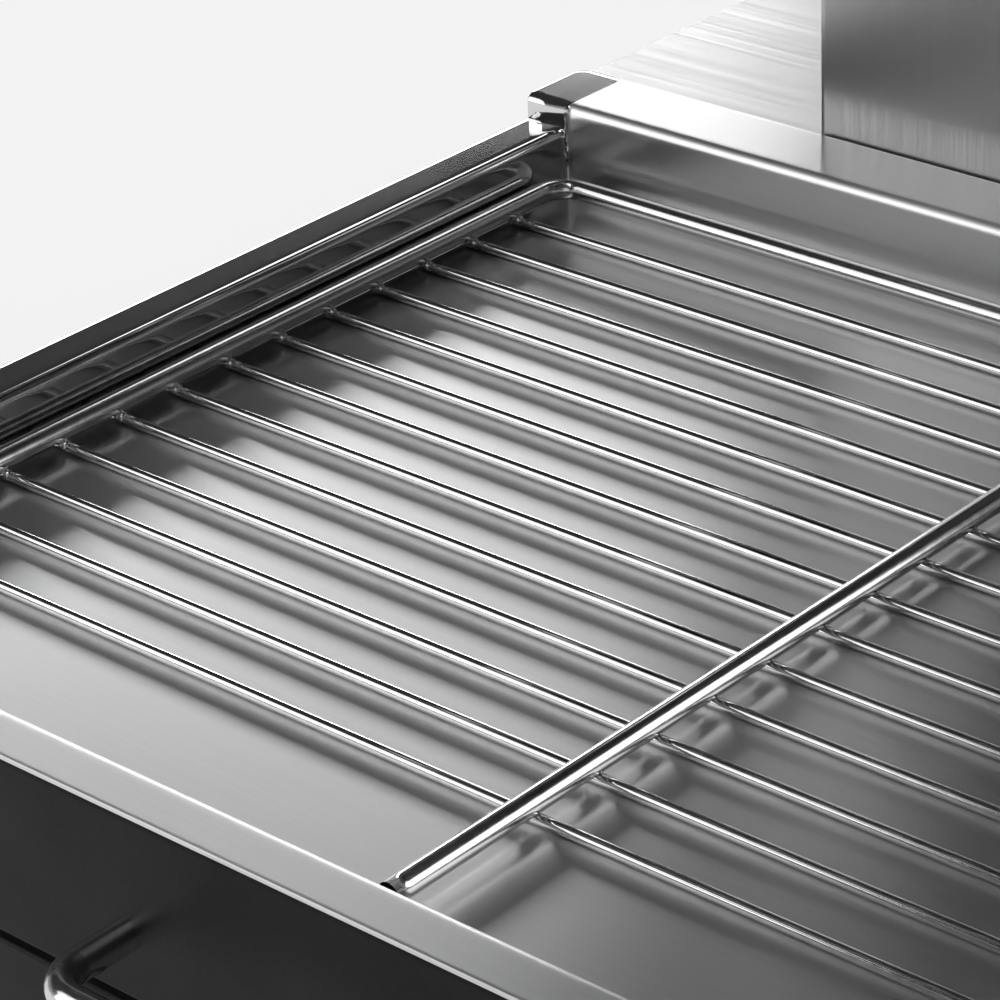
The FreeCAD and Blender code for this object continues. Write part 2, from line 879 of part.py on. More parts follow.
def knob(x):
    """A control knob with a skirt, finger flutes and a pointer groove, and its shaft."""
    back = base_front - knob_gap
    grip = knob_diameter / 2
    skirt = knob_skirt / 2
    bore = shaft_diameter / 2
    hollow = neck_nut * 0.66
    inside = neck_length - front_sheet + knob_nut_room
    top = knob_height
    low = knob_skirt_height
    profile = [(bore, inside), (hollow, inside), (hollow, 0.0), (skirt - knob_edge, 0.0),
               (skirt, knob_edge), (skirt, low - 1.0), (skirt - 1.0, low),
               (grip, low + 0.4), (grip - knob_draft, top - knob_draft - 1.0),
               (grip - knob_round, top), (0.0, top), (0.0, top - knob_top_wall),
               (bore, top - knob_top_wall)]
    body = turned(profile, V(x, back, control_z), V(0, -1, 0))
    out = grip + flute_out
    for step in range(knob_flutes):
        angle = 2 * math.pi * (step + 0.5) / knob_flutes
        centre = V(x + out * math.cos(angle), back - low - 1.0, control_z + out * math.sin(angle))
        body = body.cut(bar(centre, V(0, -1, 0), top, flute_diameter))
    half = pointer_width / 2
    body = body.cut(box(x - half, x + half, back - top - 1, back - top + pointer_depth,
                        control_z + pointer_start, control_z + grip - pointer_inset))
    shaft_start = back - top + knob_top_wall
    shaft_length = fascia_back + regulator_depth * shaft_share - 1.0 - shaft_start
    shaft = bar(V(x, shaft_start, control_z), Y, shaft_length, shaft_diameter)
    return body, shaft


def pilot_lamps():
    """Two lamps: a bezel with a barrel, and a lens with a low dome."""
    lenses = []
    holders = []
    forward = V(0, -1, 0)
    rim = lamp_bezel / 2
    bore = lamp_bore / 2
    for x in lamp_places():
        centre = V(x, base_front, control_z)
        bezel = turned([(bore, 0), (rim, 0), (rim, bezel_height - 0.8),
                        (rim - bezel_edge, bezel_height), (bore, bezel_height)], centre, forward)
        barrel = ring(centre, Y, lamp_depth, lamp_diameter, lamp_bore)
        holders.append(bezel.fuse(barrel).removeSplitter())
        lens = bar(centre + Y * lens_depth, forward, lens_depth + lens_rise, lens_diameter)
        ball = Part.makeSphere(lens_dome, centre + Y * 1.4)
        cap = ball.common(bar(centre + forward * (lens_rise - 0.1), forward, lens_dome,
                              lens_diameter))
        lenses.append(lens.fuse(cap).removeSplitter())
    return {"lamp_lenses": lenses, "lamp_holders": holders}


def rocker_switch():
    """The mains switch: a housing with a rocker that tips about a cross pin."""
    wide = switch_width / 2
    tall = switch_height / 2
    lip = base_front - switch_rim
    housing = box(switch_x - wide, switch_x + wide, base_front, base_front + switch_depth,
                  control_z - tall, control_z + tall)
    flange = box(switch_x - wide - switch_frame, switch_x + wide + switch_frame, lip, base_front,
                 control_z - tall - switch_frame, control_z + tall + switch_frame)
    flange = round_edges(flange, switch_rim * 0.45, lambda edge, at: near(at.y, lip))
    housing = housing.fuse(flange).removeSplitter()
    pocket_wide = wide - switch_wall
    pocket_tall = tall - switch_wall
    housing = housing.cut(box(switch_x - pocket_wide, switch_x + pocket_wide, lip - 1,
                              base_front + switch_pocket_depth, control_z - pocket_tall,
                              control_z + pocket_tall))
    pivot = V(switch_x, base_front + switch_pivot_depth, control_z)
    pin_start = pivot - X * (pocket_wide + switch_wall * 0.6)
    pin_length = 2 * pocket_wide + switch_wall * 1.2
    housing = housing.cut(bar(pin_start, X, pin_length, switch_pin + 2 * running_clearance))
    radius = pocket_tall - slip_gap
    length = 2 * (pocket_wide - slip_gap)
    face = switch_pivot_depth + switch_rim
    lean = radius * math.tan(math.radians(switch_tilt))
    outline = [V(0, face, -radius), V(0, -face - lean, -radius), V(0, -face, 0),
               V(0, -face - lean, radius), V(0, face, radius)]
    body = Part.Face(Part.makePolygon(outline + [outline[0]])).extrude(X * length)
    body = body.common(bar(V(0, 0, 0), X, length, 2 * radius))
    body.rotate(V(0, 0, 0), X, switch_tilt)
    body.translate(pivot - X * length / 2)
    pin = bar(pin_start + X * hole_clearance, X, pin_length - 2 * hole_clearance, switch_pin)
    return housing, body.fuse(pin).removeSplitter()


def fascia_screws():
    return [screw(point, Y, m3, sheet_screw_length) for point in fascia_screw_points()]


def floor_screws():
    return [screw(point, Z, m4, sheet_screw_length) for point in floor_screw_points()]


def drawer():
    """The crumb tray with its black front and bow handle."""
    half = inner_half - drawer_side_room
    front = fascia_back
    back = front + drawer_tray_depth
    tray = slab(-half, half, front, back, drawer_bottom, drawer_top, drawer_corner)
    inner = slab(-half + thin_sheet, half - thin_sheet, front + thin_sheet, back - thin_sheet,
                 drawer_bottom + thin_sheet, drawer_top + 1, drawer_corner - thin_sheet)
    tray = tray.cut(inner)
    lips = []
    for side in (-1, 1):
        x0, x1 = sorted((side * (half - touch_gap), side * (half + drawer_lip)))
        lips.append(box(x0, x1, return_front + sheet + 1, back - drawer_lip_end,
                        drawer_top - thin_sheet, drawer_top))
    tray = tray.fuse(lips).removeSplitter()
    reach = inner_half - slip_gap * 2
    panel = box(-reach, reach, base_front, fascia_back, drawer_front_bottom, drawer_front_top)
    panel = round_edges(panel, panel_round, lambda edge, at: near(at.y, base_front))
    handle_z = (drawer_bottom + drawer_top) / 2
    post = drawer_handle_width / 2
    grip_y = base_front - drawer_handle_reach
    path = [V(-post, base_front, handle_z), V(-post, grip_y, handle_z), V(post, grip_y, handle_z),
            V(post, base_front, handle_z)]
    handle = bent_rod(path, drawer_handle_bend, drawer_handle_rod)
    screws = []
    forward = V(0, -1, 0)
    for x in (-post, post):
        seat = V(x, front + thin_sheet, handle_z)
        hole = screw_hole(seat, forward, m4, front_sheet + thin_sheet)
        tray = tray.cut(hole)
        panel = panel.cut(hole)
        handle = handle.cut(tapped_hole(V(x, base_front, handle_z), forward, m4,
                                        drawer_handle_thread))
        screws.append(screw(seat, forward, m4, drawer_screw_length))
    return {"drawer_tray": [tray], "drawer_front": [panel], "drawer_handle": [handle],
            "drawer_screws": screws}


def drawer_runners():
    """Two angles on the side walls: the tray's lips slide on their shelves."""
    shelf_top = drawer_top - thin_sheet - drawer_lift_gap
    half = inner_half - drawer_side_room
    y0 = return_front + sheet + slip_gap
    y1 = fascia_back + drawer_tray_depth + runner_past_tray
    pieces = []
    for side in (-1, 1):
        wall = side * inner_half
        x0, x1 = sorted((wall, side * (half + runner_room)))
        shelf = box(x0, x1, y0, y1, shelf_top - sheet, shelf_top)
        w0, w1 = sorted((wall, wall - side * sheet))
        web = box(w0, w1, y0, y1, shelf_top - runner_height, shelf_top)
        pieces.append(shelf.fuse(web).removeSplitter())
    return pieces


def rear_fittings():
    """Cable gland with its nut, bonding stud with its nuts, and the terminal block."""
    point = gland_point()
    bore = gland_bore / 2
    dome_radius = gland_dome / 2
    gland = ring(point, Y, gland_flange_thickness, gland_flange, gland_bore)
    dome = turned([(bore, gland_flange_thickness), (dome_radius, gland_flange_thickness),
                   (dome_radius, gland_reach - gland_flange_thickness),
                   (bore + 2, gland_reach), (bore, gland_reach)], point, Y)
    thread = ring(point - Y * gland_thread_length, Y, gland_thread_length, gland_thread, gland_bore)
    gland = gland.fuse([dome, thread]).removeSplitter()
    nut = hexagon(point - Y * (sheet + gland_nut_thickness), Y, gland_nut, gland_nut_thickness,
                  gland_thread + 2 * running_clearance)
    seat = stud_point()
    fit = m5 + 2 * running_clearance
    inner_nut = hexagon(seat - Y * (sheet + stud_inner_nut), Y, stud_nut, stud_inner_nut, 1.0)
    stud = bar(seat - Y * stud_inside, Y, stud_length, m5).fuse(inner_nut).removeSplitter()
    outer_nut = hexagon(seat + Y * stud_washer_thickness, Y, stud_nut, stud_outer_nut, fit)
    washer = ring(seat, Y, stud_washer_thickness, stud_washer, fit)
    front = base_back - base_block_back
    back = front + base_block_depth
    side = base_block_width / 2
    low = floor_z + 2 * sheet
    high = floor_z + base_block_top
    block = box(gland_x - side, gland_x + side, front, back, low, high)
    for way in range(base_ways):
        x = gland_x + (way - (base_ways - 1) / 2) * base_way_pitch
        x0 = x - base_way_width / 2
        x1 = x + base_way_width / 2
        z0 = floor_z + base_way_bottom
        block = block.cut(box(x0, x1, front - 1, front + base_way_depth, z0, high + 1))
        block = block.cut(box(x0, x1, back - base_way_depth, back + 1, z0, high + 1))
    side += base_block_foot_side
    foot = box(gland_x - side, gland_x + side, front - base_block_foot, back + base_block_foot,
               floor_z + sheet, low)
    block = block.fuse(foot).removeSplitter()
    return {"cable_gland": [gland, nut], "terminal_block": [block],
            "bonding_stud": [stud, outer_nut, washer]}


def column_cover():
    """The column's front and sides in one folded sheet, with a slot for each lift arm."""
    past = base_back + 2 * cut_over
    body = slab(-column_half, column_half, column_front, past, deck_z, column_top, edge_round)
    body = body.cut(slab(-column_half + sheet, column_half - sheet, column_front + sheet,
                         past + 2, deck_z - 1, column_top + 1, edge_round - sheet))
    body = body.cut(box(-column_half - 1, column_half + 1, base_back - sheet, past + cut_over,
                        deck_z - 1, column_top + 1))
    half = arm_width / 2 + slot_clearance
    low = arm_bottom - lift_travel - slot_clearance
    for side in (-1, 1):
        x = side * arm_x
        body = body.cut(box(x - half, x + half, column_front - 1, column_front + sheet + 1, low,
                            arm_top + slot_clearance))
        wall = side * (column_half - sheet)
        x0, x1 = sorted((wall, wall - side * base_lip))
        body = body.fuse(box(x0, x1, base_back - 2 * sheet, base_back - sheet,
                             deck_z + column_lip_end, column_top - column_lip_end))
    body = body.removeSplitter()
    for point in panel_screw_points():
        body = body.cut(tapped_hole(point, V(0, -1, 0), m4, sheet_screw_length))
    return body


def panel_screw_points():
    x = column_half - sheet - base_lip / 2
    pitch = (column_height - 2 * panel_screw_end) / (panel_screw_rows - 1)
    return [V(side * x, base_back, deck_z + panel_screw_end + pitch * step)
            for side in (-1, 1) for step in range(panel_screw_rows)]


def rear_panel():
    """The column's back, with two columns of vents near its top."""
    body = box(-column_half, column_half, base_back - sheet, base_back, deck_z, column_top)
    for point in panel_screw_points():
        body = body.cut(screw_hole(point, V(0, -1, 0), m4, sheet))
    for side in (-1, 1):
        for row in range(rear_vent_rows):
            z = column_top - rear_vent_top - row * vent_row_pitch
            body = body.cut(slot_x(side * rear_vent_x, z, rear_vent_length, vent_width))
    return body


def rear_panel_screws():
    return [screw(point, V(0, -1, 0), m4, sheet_screw_length) for point in panel_screw_points()]


def column_cap():
    """The lid of the column, with a skirt that fits inside the cover."""
    top = column_top + cap_height
    cap = slab(-column_half, column_half, column_front, base_back, column_top, top, edge_round)
    cap = round_edges(cap, cap_round, lambda edge, at: near(at.z, top))
    half = column_half - cap_skirt_inset
    front = column_front + cap_skirt_inset
    back = base_back - cap_skirt_back_inset
    skirt = box(-half, half, front, back, column_top - cap_skirt, column_top)
    wall = cap_skirt_wall
    skirt = skirt.cut(box(-half + wall, half - wall, front + wall, back - wall,
                          column_top - cap_skirt - 1, column_top + 1))
    return cap.fuse(skirt).removeSplitter()


def guide_parts():
    """Two guide shafts, the plates that hold their ends, and rubber buffers."""
    reach = column_half - sheet - shaft_plate_margin
    y0 = carriage_front - plate_front
    y1 = base_back - 2 * sheet - panel_screw_room
    fit = guide_diameter + 2 * running_clearance
    lower_top = lower_plate_z + shaft_plate
    lower = box(-reach, reach, y0, y1, lower_plate_z, lower_top)
    lower = lower.fuse([box(-reach, -reach + plate_leg, y0, y1, deck_z, lower_plate_z),
                        box(reach - plate_leg, reach, y0, y1, deck_z, lower_plate_z)])
    lower = lower.removeSplitter()
    upper_top = upper_plate_z + shaft_plate
    upper = box(-reach, reach, y0, y1, upper_plate_z, upper_top)
    ears = []
    for side in (-1, 1):
        x0, x1 = sorted((side * reach, side * (reach - plate_ear)))
        ears.append(box(x0, x1, y0, y1, upper_plate_z - plate_ear_height, upper_plate_z))
    upper = upper.fuse(ears).removeSplitter()
    shafts = []
    buffers = []
    for side in (-1, 1):
        foot = V(side * shaft_x, shaft_y, lower_plate_z)
        shafts.append(bar(foot, Z, upper_top - lower_plate_z, guide_diameter))
        lower = lower.cut(bar(foot - Z, Z, shaft_plate + 2, fit))
        upper = upper.cut(bar(V(foot.x, foot.y, upper_plate_z - 1), Z, shaft_plate + 2, fit))
        bore = guide_diameter + 4 * running_clearance
        stop = carriage_bottom - lift_travel - buffer_gap
        buffers.append(ring(V(foot.x, foot.y, lower_top), Z, stop - lower_top, buffer_diameter, bore))
        high = carriage_top + buffer_gap
        buffers.append(ring(V(foot.x, foot.y, high), Z, upper_plate_z - high, buffer_diameter, bore))
    lower = lower.cut(bar(V(0, shaft_y, lower_plate_z - 1), Z, shaft_plate + 2,
                          strut_diameter + 2 * strut_plate_gap))
    return {"shaft_plates": [lower, upper], "guide_shafts": shafts, "shaft_buffers": buffers}


def strut_pin_cut(z):
    length = strut_eye_width + 2 * (strut_ear + strut_pin_overhang)
    return bar(V(-length / 2, shaft_y, z), X, length, strut_pin + 2 * running_clearance)


def strut_cross_pin(z):
    length = strut_eye_width + 2 * (strut_ear + strut_pin_overhang)
    return bar(V(-length / 2, shaft_y, z), X, length, strut_pin)


def strut_ears(y0, y1, z0, z1):
    """The two ears that stand beside an eye of the strut."""
    inner = strut_eye_width / 2 + strut_ear_gap
    return [box(-inner - strut_ear, -inner, y0, y1, z0, z1),
            box(inner, inner + strut_ear, y0, y1, z0, z1)]


def strut():
    """The gas strut: its cylinder stands in the base, its rod lifts the carriage."""
    foot = V(0, shaft_y, strut_foot_z)
    half = strut_eye_width / 2
    deep = strut_eye_depth / 2
    inside = strut_diameter - 2 * strut_wall
    chamber = strut_length - 3 * strut_end_wall
    cylinder = bar(foot, Z, strut_length, strut_diameter)
    cylinder = cylinder.cut(bar(foot + Z * strut_end_wall, Z, chamber, inside))
    cylinder = cylinder.cut(bar(foot + Z * (strut_length - strut_seal_length), Z,
                                strut_seal_length + 1, strut_rod_diameter + 2 * running_clearance))
    eye = box(-half, half, shaft_y - deep, shaft_y + deep, foot.z - strut_eye_height, foot.z)
    pin_z = foot.z - strut_eye_height / 2
    cylinder = cylinder.fuse(eye).removeSplitter().cut(strut_pin_cut(pin_z))
    base = strut_base_size / 2
    seat = floor_z + sheet
    plate = box(-base, base, shaft_y - base, shaft_y + base, seat, seat + strut_base_plate)
    ears = strut_ears(shaft_y - deep - 2, shaft_y + deep + 2, seat,
                      foot.z - strut_ear_gap - strut_ear_gap)
    bracket = plate.fuse(ears).removeSplitter().cut(strut_pin_cut(pin_z))
    piston_top = foot.z + strut_end_wall + chamber - 1
    piston_foot = V(0, shaft_y, piston_top - piston_length)
    piston = bar(piston_foot, Z, piston_length, inside - 4 * running_clearance)
    rod = bar(piston_foot, Z, rod_top - piston_foot.z, strut_rod_diameter)
    eye_top = box(-half, half, shaft_y - deep, shaft_y + deep, rod_top - 2,
                  rod_top + strut_pin_rise + deep)
    rod = rod.fuse([piston, eye_top]).removeSplitter().cut(strut_pin_cut(top_pin_z))
    return {"strut_cylinder": [cylinder], "strut_bracket": [bracket, strut_cross_pin(pin_z)],
            "strut_rod": [rod]}


def carriage():
    """The carriage plate with bush housings, bushes and the ears for the strut."""
    reach = shaft_x + bush_housing_width / 2
    seat = carriage_front + carriage_thickness
    ear_top = top_pin_z + strut_ear_rise
    plate = box(-reach, reach, carriage_front, seat, carriage_bottom, carriage_top)
    ears = strut_ears(seat, shaft_y + strut_eye_depth / 2 + 2, top_pin_z - strut_ear_rise, ear_top)
    rise = box(-carriage_rise_width / 2, carriage_rise_width / 2, carriage_front, seat,
               carriage_bottom, ear_top)
    plate = plate.fuse(ears + [rise]).removeSplitter().cut(strut_pin_cut(top_pin_z))
    housings = []
    bushes = []
    screws = []
    outer = guide_diameter + 2 * bush_wall
    half = bush_housing_width / 2
    thread = bush_housing_depth / 4
    for side in (-1, 1):
        x = side * shaft_x
        for z in (carriage_bottom, carriage_top - bush_length):
            block = box(x - half, x + half, seat, seat + bush_housing_depth, z, z + bush_length)
            block = round_edges(block, housing_round,
                                lambda edge, at: upright(edge) and at.y > seat + 1)
            block = block.cut(bar(V(x, shaft_y, z - 1), Z, bush_length + 2, outer))
            bushes.append(ring(V(x, shaft_y, z), Z, bush_length, outer,
                               guide_diameter + 2 * running_clearance))
            for offset in (-housing_screw_spacing / 2, housing_screw_spacing / 2):
                point = V(x + offset, carriage_front, z + bush_length / 2)
                plate = plate.cut(screw_hole(point, Y, m4, carriage_thickness))
                block = block.cut(tapped_hole(V(point.x, seat, point.z), Y, m4, thread))
                screws.append(screw(point, Y, m4, carriage_thickness + thread))
            housings.append(block)
    arms = []
    for side in (-1, 1):
        x = side * arm_x
        arm = box(x - arm_width / 2, x + arm_width / 2, mount_bar_back, carriage_front, arm_bottom,
                  arm_top)
        arm = round_edges(arm, arm_round, lambda edge, at: runs_along_y(edge))
        hollow = box(x - arm_width / 2 + arm_wall, x + arm_width / 2 - arm_wall, mount_bar_back - 1,
                     carriage_front + 1, arm_bottom + arm_wall, arm_top - arm_wall)
        arms.append(arm.cut(hollow))
    return {"carriage_plate": [plate], "bush_housings": housings, "guide_bushes": bushes,
            "head_screws": screws, "lift_arms": arms,
            "strut_top_pin": [strut_cross_pin(top_pin_z)]}


def head_cover():
    """The head's outer shell, open underneath, with a lip turned in all round."""
    body = slab(-head_half, head_half, head_front, head_back, head_bottom, head_top, head_corner)
    body = round_edges(body, head_top_round, lambda edge, at: near(at.z, head_top))
    inner = slab(-head_half + sheet, head_half - sheet, head_front + sheet, head_back - sheet,
                 head_bottom + sheet, head_top - sheet, head_corner - sheet)
    inner = round_edges(inner, head_top_round - sheet, lambda edge, at: near(at.z, head_top - sheet))
    mouth = slab(-head_half + head_lip, head_half - head_lip, head_front + head_lip,
                 head_back - head_lip, head_bottom - 1, head_bottom + sheet + 1,
                 head_mouth_corner)
    body = body.cut(inner).cut(mouth)
    half = arm_width / 2 + hole_clearance
    for side in (-1, 1):
        x = side * arm_x
        body = body.cut(box(x - half, x + half, head_back - sheet - 1, head_back + 1,
                            arm_bottom - hole_clearance, arm_top + hole_clearance))
        for row in range(head_vent_rows):
            for step in range(head_vent_count):
                y = head_front + head_vent_front + step * head_vent_pitch
                z = head_top - head_vent_drop - row * head_vent_row_pitch
                body = body.cut(slot_y(side * head_half, y, z, head_vent_length, head_vent_width))
        for point in bracket_screw_points(side):
            body = body.cut(screw_hole(point, Y, m4, sheet))
    for point in head_screw_points():
        body = body.cut(screw_hole(point, V(-math.copysign(1, point.x), 0, 0), m4, sheet))
    return body


def slot_y(x, y, z, length, width):
    """A cutter for a rounded slot along Y, through a side sheet at x."""
    reach = (length - width) / 2
    start = x - sheet - 1
    long = 2 * (sheet + 1)
    body = box(start, start + long, y - reach, y + reach, z - width / 2, z + width / 2)
    return body.fuse([bar(V(start, y - reach, z), X, long, width),
                      bar(V(start, y + reach, z), X, long, width)])


def head_screw_points():
    z = reflector_top + head_screw_rise
    return [V(side * head_half, y, z) for side in (-1, 1)
            for y in (head_front + head_screw_inset, head_back - head_screw_inset)]


def bracket_screw_points(side):
    x = side * (handle_width / 2)
    z = head_bottom + handle_rise
    half = bracket_screw_spacing / 2
    return [V(x, head_front, z - half), V(x, head_front, z + half)]


def reflector():
    """The polished reflector: an inverted tray whose flange rests on the cover's lip."""
    t = thin_sheet
    body = slab(-reflector_half, reflector_half, reflector_front, reflector_back, reflector_bottom,
                reflector_top, reflector_corner)
    body = body.cut(slab(-reflector_half + t, reflector_half - t, reflector_front + t,
                         reflector_back - t, reflector_bottom - 1, reflector_top - t,
                         reflector_corner - t))
    flange = slab(-reflector_half - reflector_flange, reflector_half + reflector_flange,
                  reflector_front - reflector_flange, reflector_back + reflector_back_flange,
                  reflector_bottom, reflector_bottom + t, reflector_corner)
    flange = flange.cut(slab(-reflector_half + t, reflector_half - t, reflector_front + t,
                             reflector_back - t, reflector_bottom - 1, reflector_bottom + t + 1,
                             reflector_corner - t))
    body = body.fuse(flange).removeSplitter()
    for x in guard_places():
        body = body.cut(bar(V(x, reflector_front - cut_over, guard_z()), Y,
                            reflector_back - reflector_front + 2 * cut_over,
                            guard_wire + touch_gap))
    for x in terminal_places():
        body = body.cut(bar(V(x, reflector_back - cut_over, element_z), Y, 2 * cut_over,
                            terminal_bush + touch_gap))
    return body


def guard_z():
    return reflector_bottom + guard_drop


def guard_places():
    count = int((2 * reflector_half - guard_margin) / guard_pitch)
    return [(step - (count - 1) / 2) * guard_pitch for step in range(count)]


def guard_wires():
    front = reflector_front - guard_overhang
    length = reflector_back - reflector_front + 2 * guard_overhang
    return [bar(V(x, front, guard_z()), Y, length, guard_wire) for x in guard_places()]


def element_legs(side):
    """The x of the four long legs of one element."""
    inner = element_bend * element_middle_share
    return [side * (inner + 2 * element_bend * step) for step in range(4)]


def terminal_places():
    places = []
    for side in (-1, 1):
        legs = element_legs(side)
        places.extend([legs[0], legs[3]])
    return places


def elements():
    """Two tubular elements, one for the left half and one for the right half."""
    near_y = reflector_front + element_front_room
    far_y = reflector_back - element_back_room
    end_y = reflector_back + element_tail
    z = element_z
    tubes = []
    for side in (-1, 1):
        x = element_legs(side)
        path = [V(x[0], end_y, z), V(x[0], near_y, z), V(x[1], near_y, z), V(x[1], far_y, z),
                V(x[2], far_y, z), V(x[2], near_y, z), V(x[3], near_y, z), V(x[3], end_y, z)]
        tubes.append(bent_rod(path, element_bend - 0.001, element_diameter))
    bushes = []
    pins = []
    for x in terminal_places():
        bushes.append(ring(V(x, reflector_back - terminal_bush_length / 3, z), Y,
                           terminal_bush_length, terminal_bush,
                           element_diameter + 2 * running_clearance))
        pins.append(bar(V(x, end_y, z), Y, terminal_pin_length, terminal_pin))
    return {"heating_elements": tubes, "element_terminals": bushes + pins}


def element_supports():
    """Two hangers across the reflector, with a hole for each leg that passes."""
    strips = []
    span = reflector_half - thin_sheet - touch_gap - 0.1
    for y in (reflector_front + hanger_inset, reflector_back - hanger_inset - hanger_sheet):
        strip = box(-span, span, y, y + hanger_sheet, element_z - hanger_drop,
                    reflector_top - thin_sheet)
        for side in (-1, 1):
            for x in element_legs(side):
                strip = strip.cut(bar(V(x, y - 1, element_z), Y, hanger_sheet + 2,
                                      element_diameter + touch_gap))
        strips.append(strip)
    return strips


def head_inside():
    """Insulation, its cover plate, the bar that joins the arms, and the terminal block."""
    z0 = reflector_top + insulation_gap
    z1 = z0 + insulation_thickness
    wide = reflector_half - insulation_inset
    insulation = box(-wide, wide, reflector_front + insulation_inset,
                     reflector_back - insulation_inset, z0, z1)
    shield_half = wide + shield_margin
    shield_front = reflector_front - shield_margin / 3
    shield = box(-shield_half, shield_half, shield_front, reflector_back, z1, z1 + thin_sheet)
    for side in (-1, 1):
        x0, x1 = sorted((side * shield_half, side * (shield_half - thin_sheet)))
        shield = shield.fuse(box(x0, x1, shield_front, reflector_back, z0, z1))
        x0, x1 = sorted((side * shield_half, side * (head_half - sheet - touch_gap)))
        shield = shield.fuse(box(x0, x1, head_front + shield_tab_front,
                                 reflector_back - shield_tab_back, z1, z1 + thin_sheet))
    shield = shield.removeSplitter()
    front = mount_bar_back - mount_bar
    half = arm_x + mount_bar_reach
    under = head_top - sheet - touch_gap - 0.1
    mount = box(-half, half, front, mount_bar_back, arm_bottom - mount_bar_drop, under)
    mount = mount.fuse(box(-half, half, front, mount_bar_back + mount_bar_leg,
                           under - mount_bar_sheet, under))
    mount = mount.removeSplitter()
    block = terminal_body(V(0, mount_bar_back, arm_bottom + head_block_rise), head_ways, way_pitch,
                          head_block_depth, head_block_height, head_block_wall)
    return {"insulation_blanket": [insulation], "heat_shield": [shield], "head_mount_bar": [mount],
            "head_terminal_block": [block]}


def terminal_body(point, ways, pitch, depth, height, floor):
    """A ceramic terminal block on a Y face at a point: one open cell for each way."""
    half = ways * pitch / 2
    body = box(point.x - half, point.x + half, point.y, point.y + depth, point.z, point.z + height)
    for way in range(ways):
        x = point.x - half + (way + 0.5) * pitch
        cell = box(x - pitch * 0.3, x + pitch * 0.3, point.y + depth - 3 * floor,
                   point.y + depth + 1, point.z + 2 * floor, point.z + height + 1)
        body = body.cut(cell)
    return body


def head_frame_rails():
    """Two rails inside the head's sides, which take the side screws."""
    rails = []
    for side in (-1, 1):
        wall = side * (head_half - sheet)
        x0, x1 = sorted((wall, wall - side * head_rail_thickness))
        rail = box(x0, x1, head_front + head_rail_inset, head_back - head_rail_inset,
                   reflector_top + head_rail_low, reflector_top + head_rail_high)
        for point in head_screw_points():
            if point.x * side > 0:
                rail = rail.cut(tapped_hole(point, V(-side, 0, 0), m4, cut_over))
        rails.append(rail)
    return rails


def head_side_screws():
    return [screw(point, V(-math.copysign(1, point.x), 0, 0), m4, head_screw_length)
            for point in head_screw_points()]


def lift_handle():
    """The bar across the head's front, on two brackets."""
    y = head_front - handle_reach
    z = head_bottom + handle_rise
    half = handle_width / 2
    end_x = half + handle_overhang
    bore = handle_tube - 2 * handle_wall
    forward = V(0, -1, 0)
    tube = ring(V(-end_x, y, z), X, 2 * end_x, handle_tube, bore)
    brackets = []
    caps = []
    screws = []
    backs = []
    collar_diameter = handle_tube + 2 * collar_wall
    seat_depth = sheet + backing_plate
    for side in (-1, 1):
        x = side * half
        low, high = x - bracket_width / 2, x + bracket_width / 2
        collar = bar(V(low, y, z), X, bracket_width, collar_diameter)
        web = box(low, high, y, head_front, z - collar_diameter / 2, z + collar_diameter / 2)
        piece = collar.fuse(web).removeSplitter()
        piece = piece.cut(bar(V(low - 1, y, z), X, bracket_width + 2,
                              handle_tube + 2 * running_clearance))
        plate = box(low, high, head_front + sheet, head_front + seat_depth, z - backing_height / 2,
                    z + backing_height / 2)
        for point in bracket_screw_points(side):
            piece = piece.cut(tapped_hole(point, forward, m4, bracket_thread + 1))
            plate = plate.cut(screw_hole(point, Y, m4, seat_depth + 1))
            screws.append(screw(point + Y * seat_depth, forward, m4, seat_depth + bracket_thread))
        brackets.append(piece)
        backs.append(plate)
        end = V(side * end_x, y, z)
        cap = bar(end, V(side, 0, 0), handle_cap, handle_tube)
        cap = round_edges(cap, handle_cap_round,
                          lambda edge, at: near(abs(at.x), end_x + handle_cap))
        plug = bar(end, V(-side, 0, 0), handle_plug, bore)
        caps.append(cap.fuse(plug).removeSplitter())
    return {"handle_bar": [tube], "handle_brackets": brackets, "handle_caps": caps}, screws, backs


def build():
    nodes = {"grill_pan": [grill_pan()]}
    nodes.update(rack())
    nodes["base_wrap"] = [base_shell()]
    nodes["base_floor"] = [base_floor()]
    nodes.update(feet())
    nodes["front_rail"] = [front_rail()]
    nodes["divider_plate"] = [divider()]
    nodes["control_fascia"] = [control_fascia()]
    nodes["base_screws"] = rail_screws() + fascia_screws() + floor_screws() + rear_panel_screws()
    nodes.update(regulators())
    for name, x in zip(("left", "right"), knob_places()):
        body, shaft = knob(x)
        nodes["knob_" + name] = [body]
        nodes["regulator_shaft_" + name] = [shaft]
    nodes.update(pilot_lamps())
    housing, rocker = rocker_switch()
    nodes["switch_housing"] = [housing]
    nodes["switch_rocker"] = [rocker]
    nodes.update(drawer())
    nodes["drawer_runners"] = drawer_runners()
    nodes.update(rear_fittings())
    nodes["column_cover"] = [column_cover()]
    nodes["rear_panel"] = [rear_panel()]
    nodes["column_cap"] = [column_cap()]
    nodes.update(guide_parts())
    nodes.update(strut())
    nodes.update(carriage())
    nodes["head_cover"] = [head_cover()]
    nodes["reflector"] = [reflector()]
    nodes["guard_wires"] = guard_wires()
    nodes.update(elements())
    nodes["element_supports"] = element_supports()
    nodes.update(head_inside())
    handle_nodes, handle_screws, backing_plates = lift_handle()
    nodes.update(handle_nodes)
    nodes["head_rails"] = head_frame_rails() + backing_plates
    nodes["head_screws"] = nodes["head_screws"] + head_side_screws() + handle_screws
    return nodes


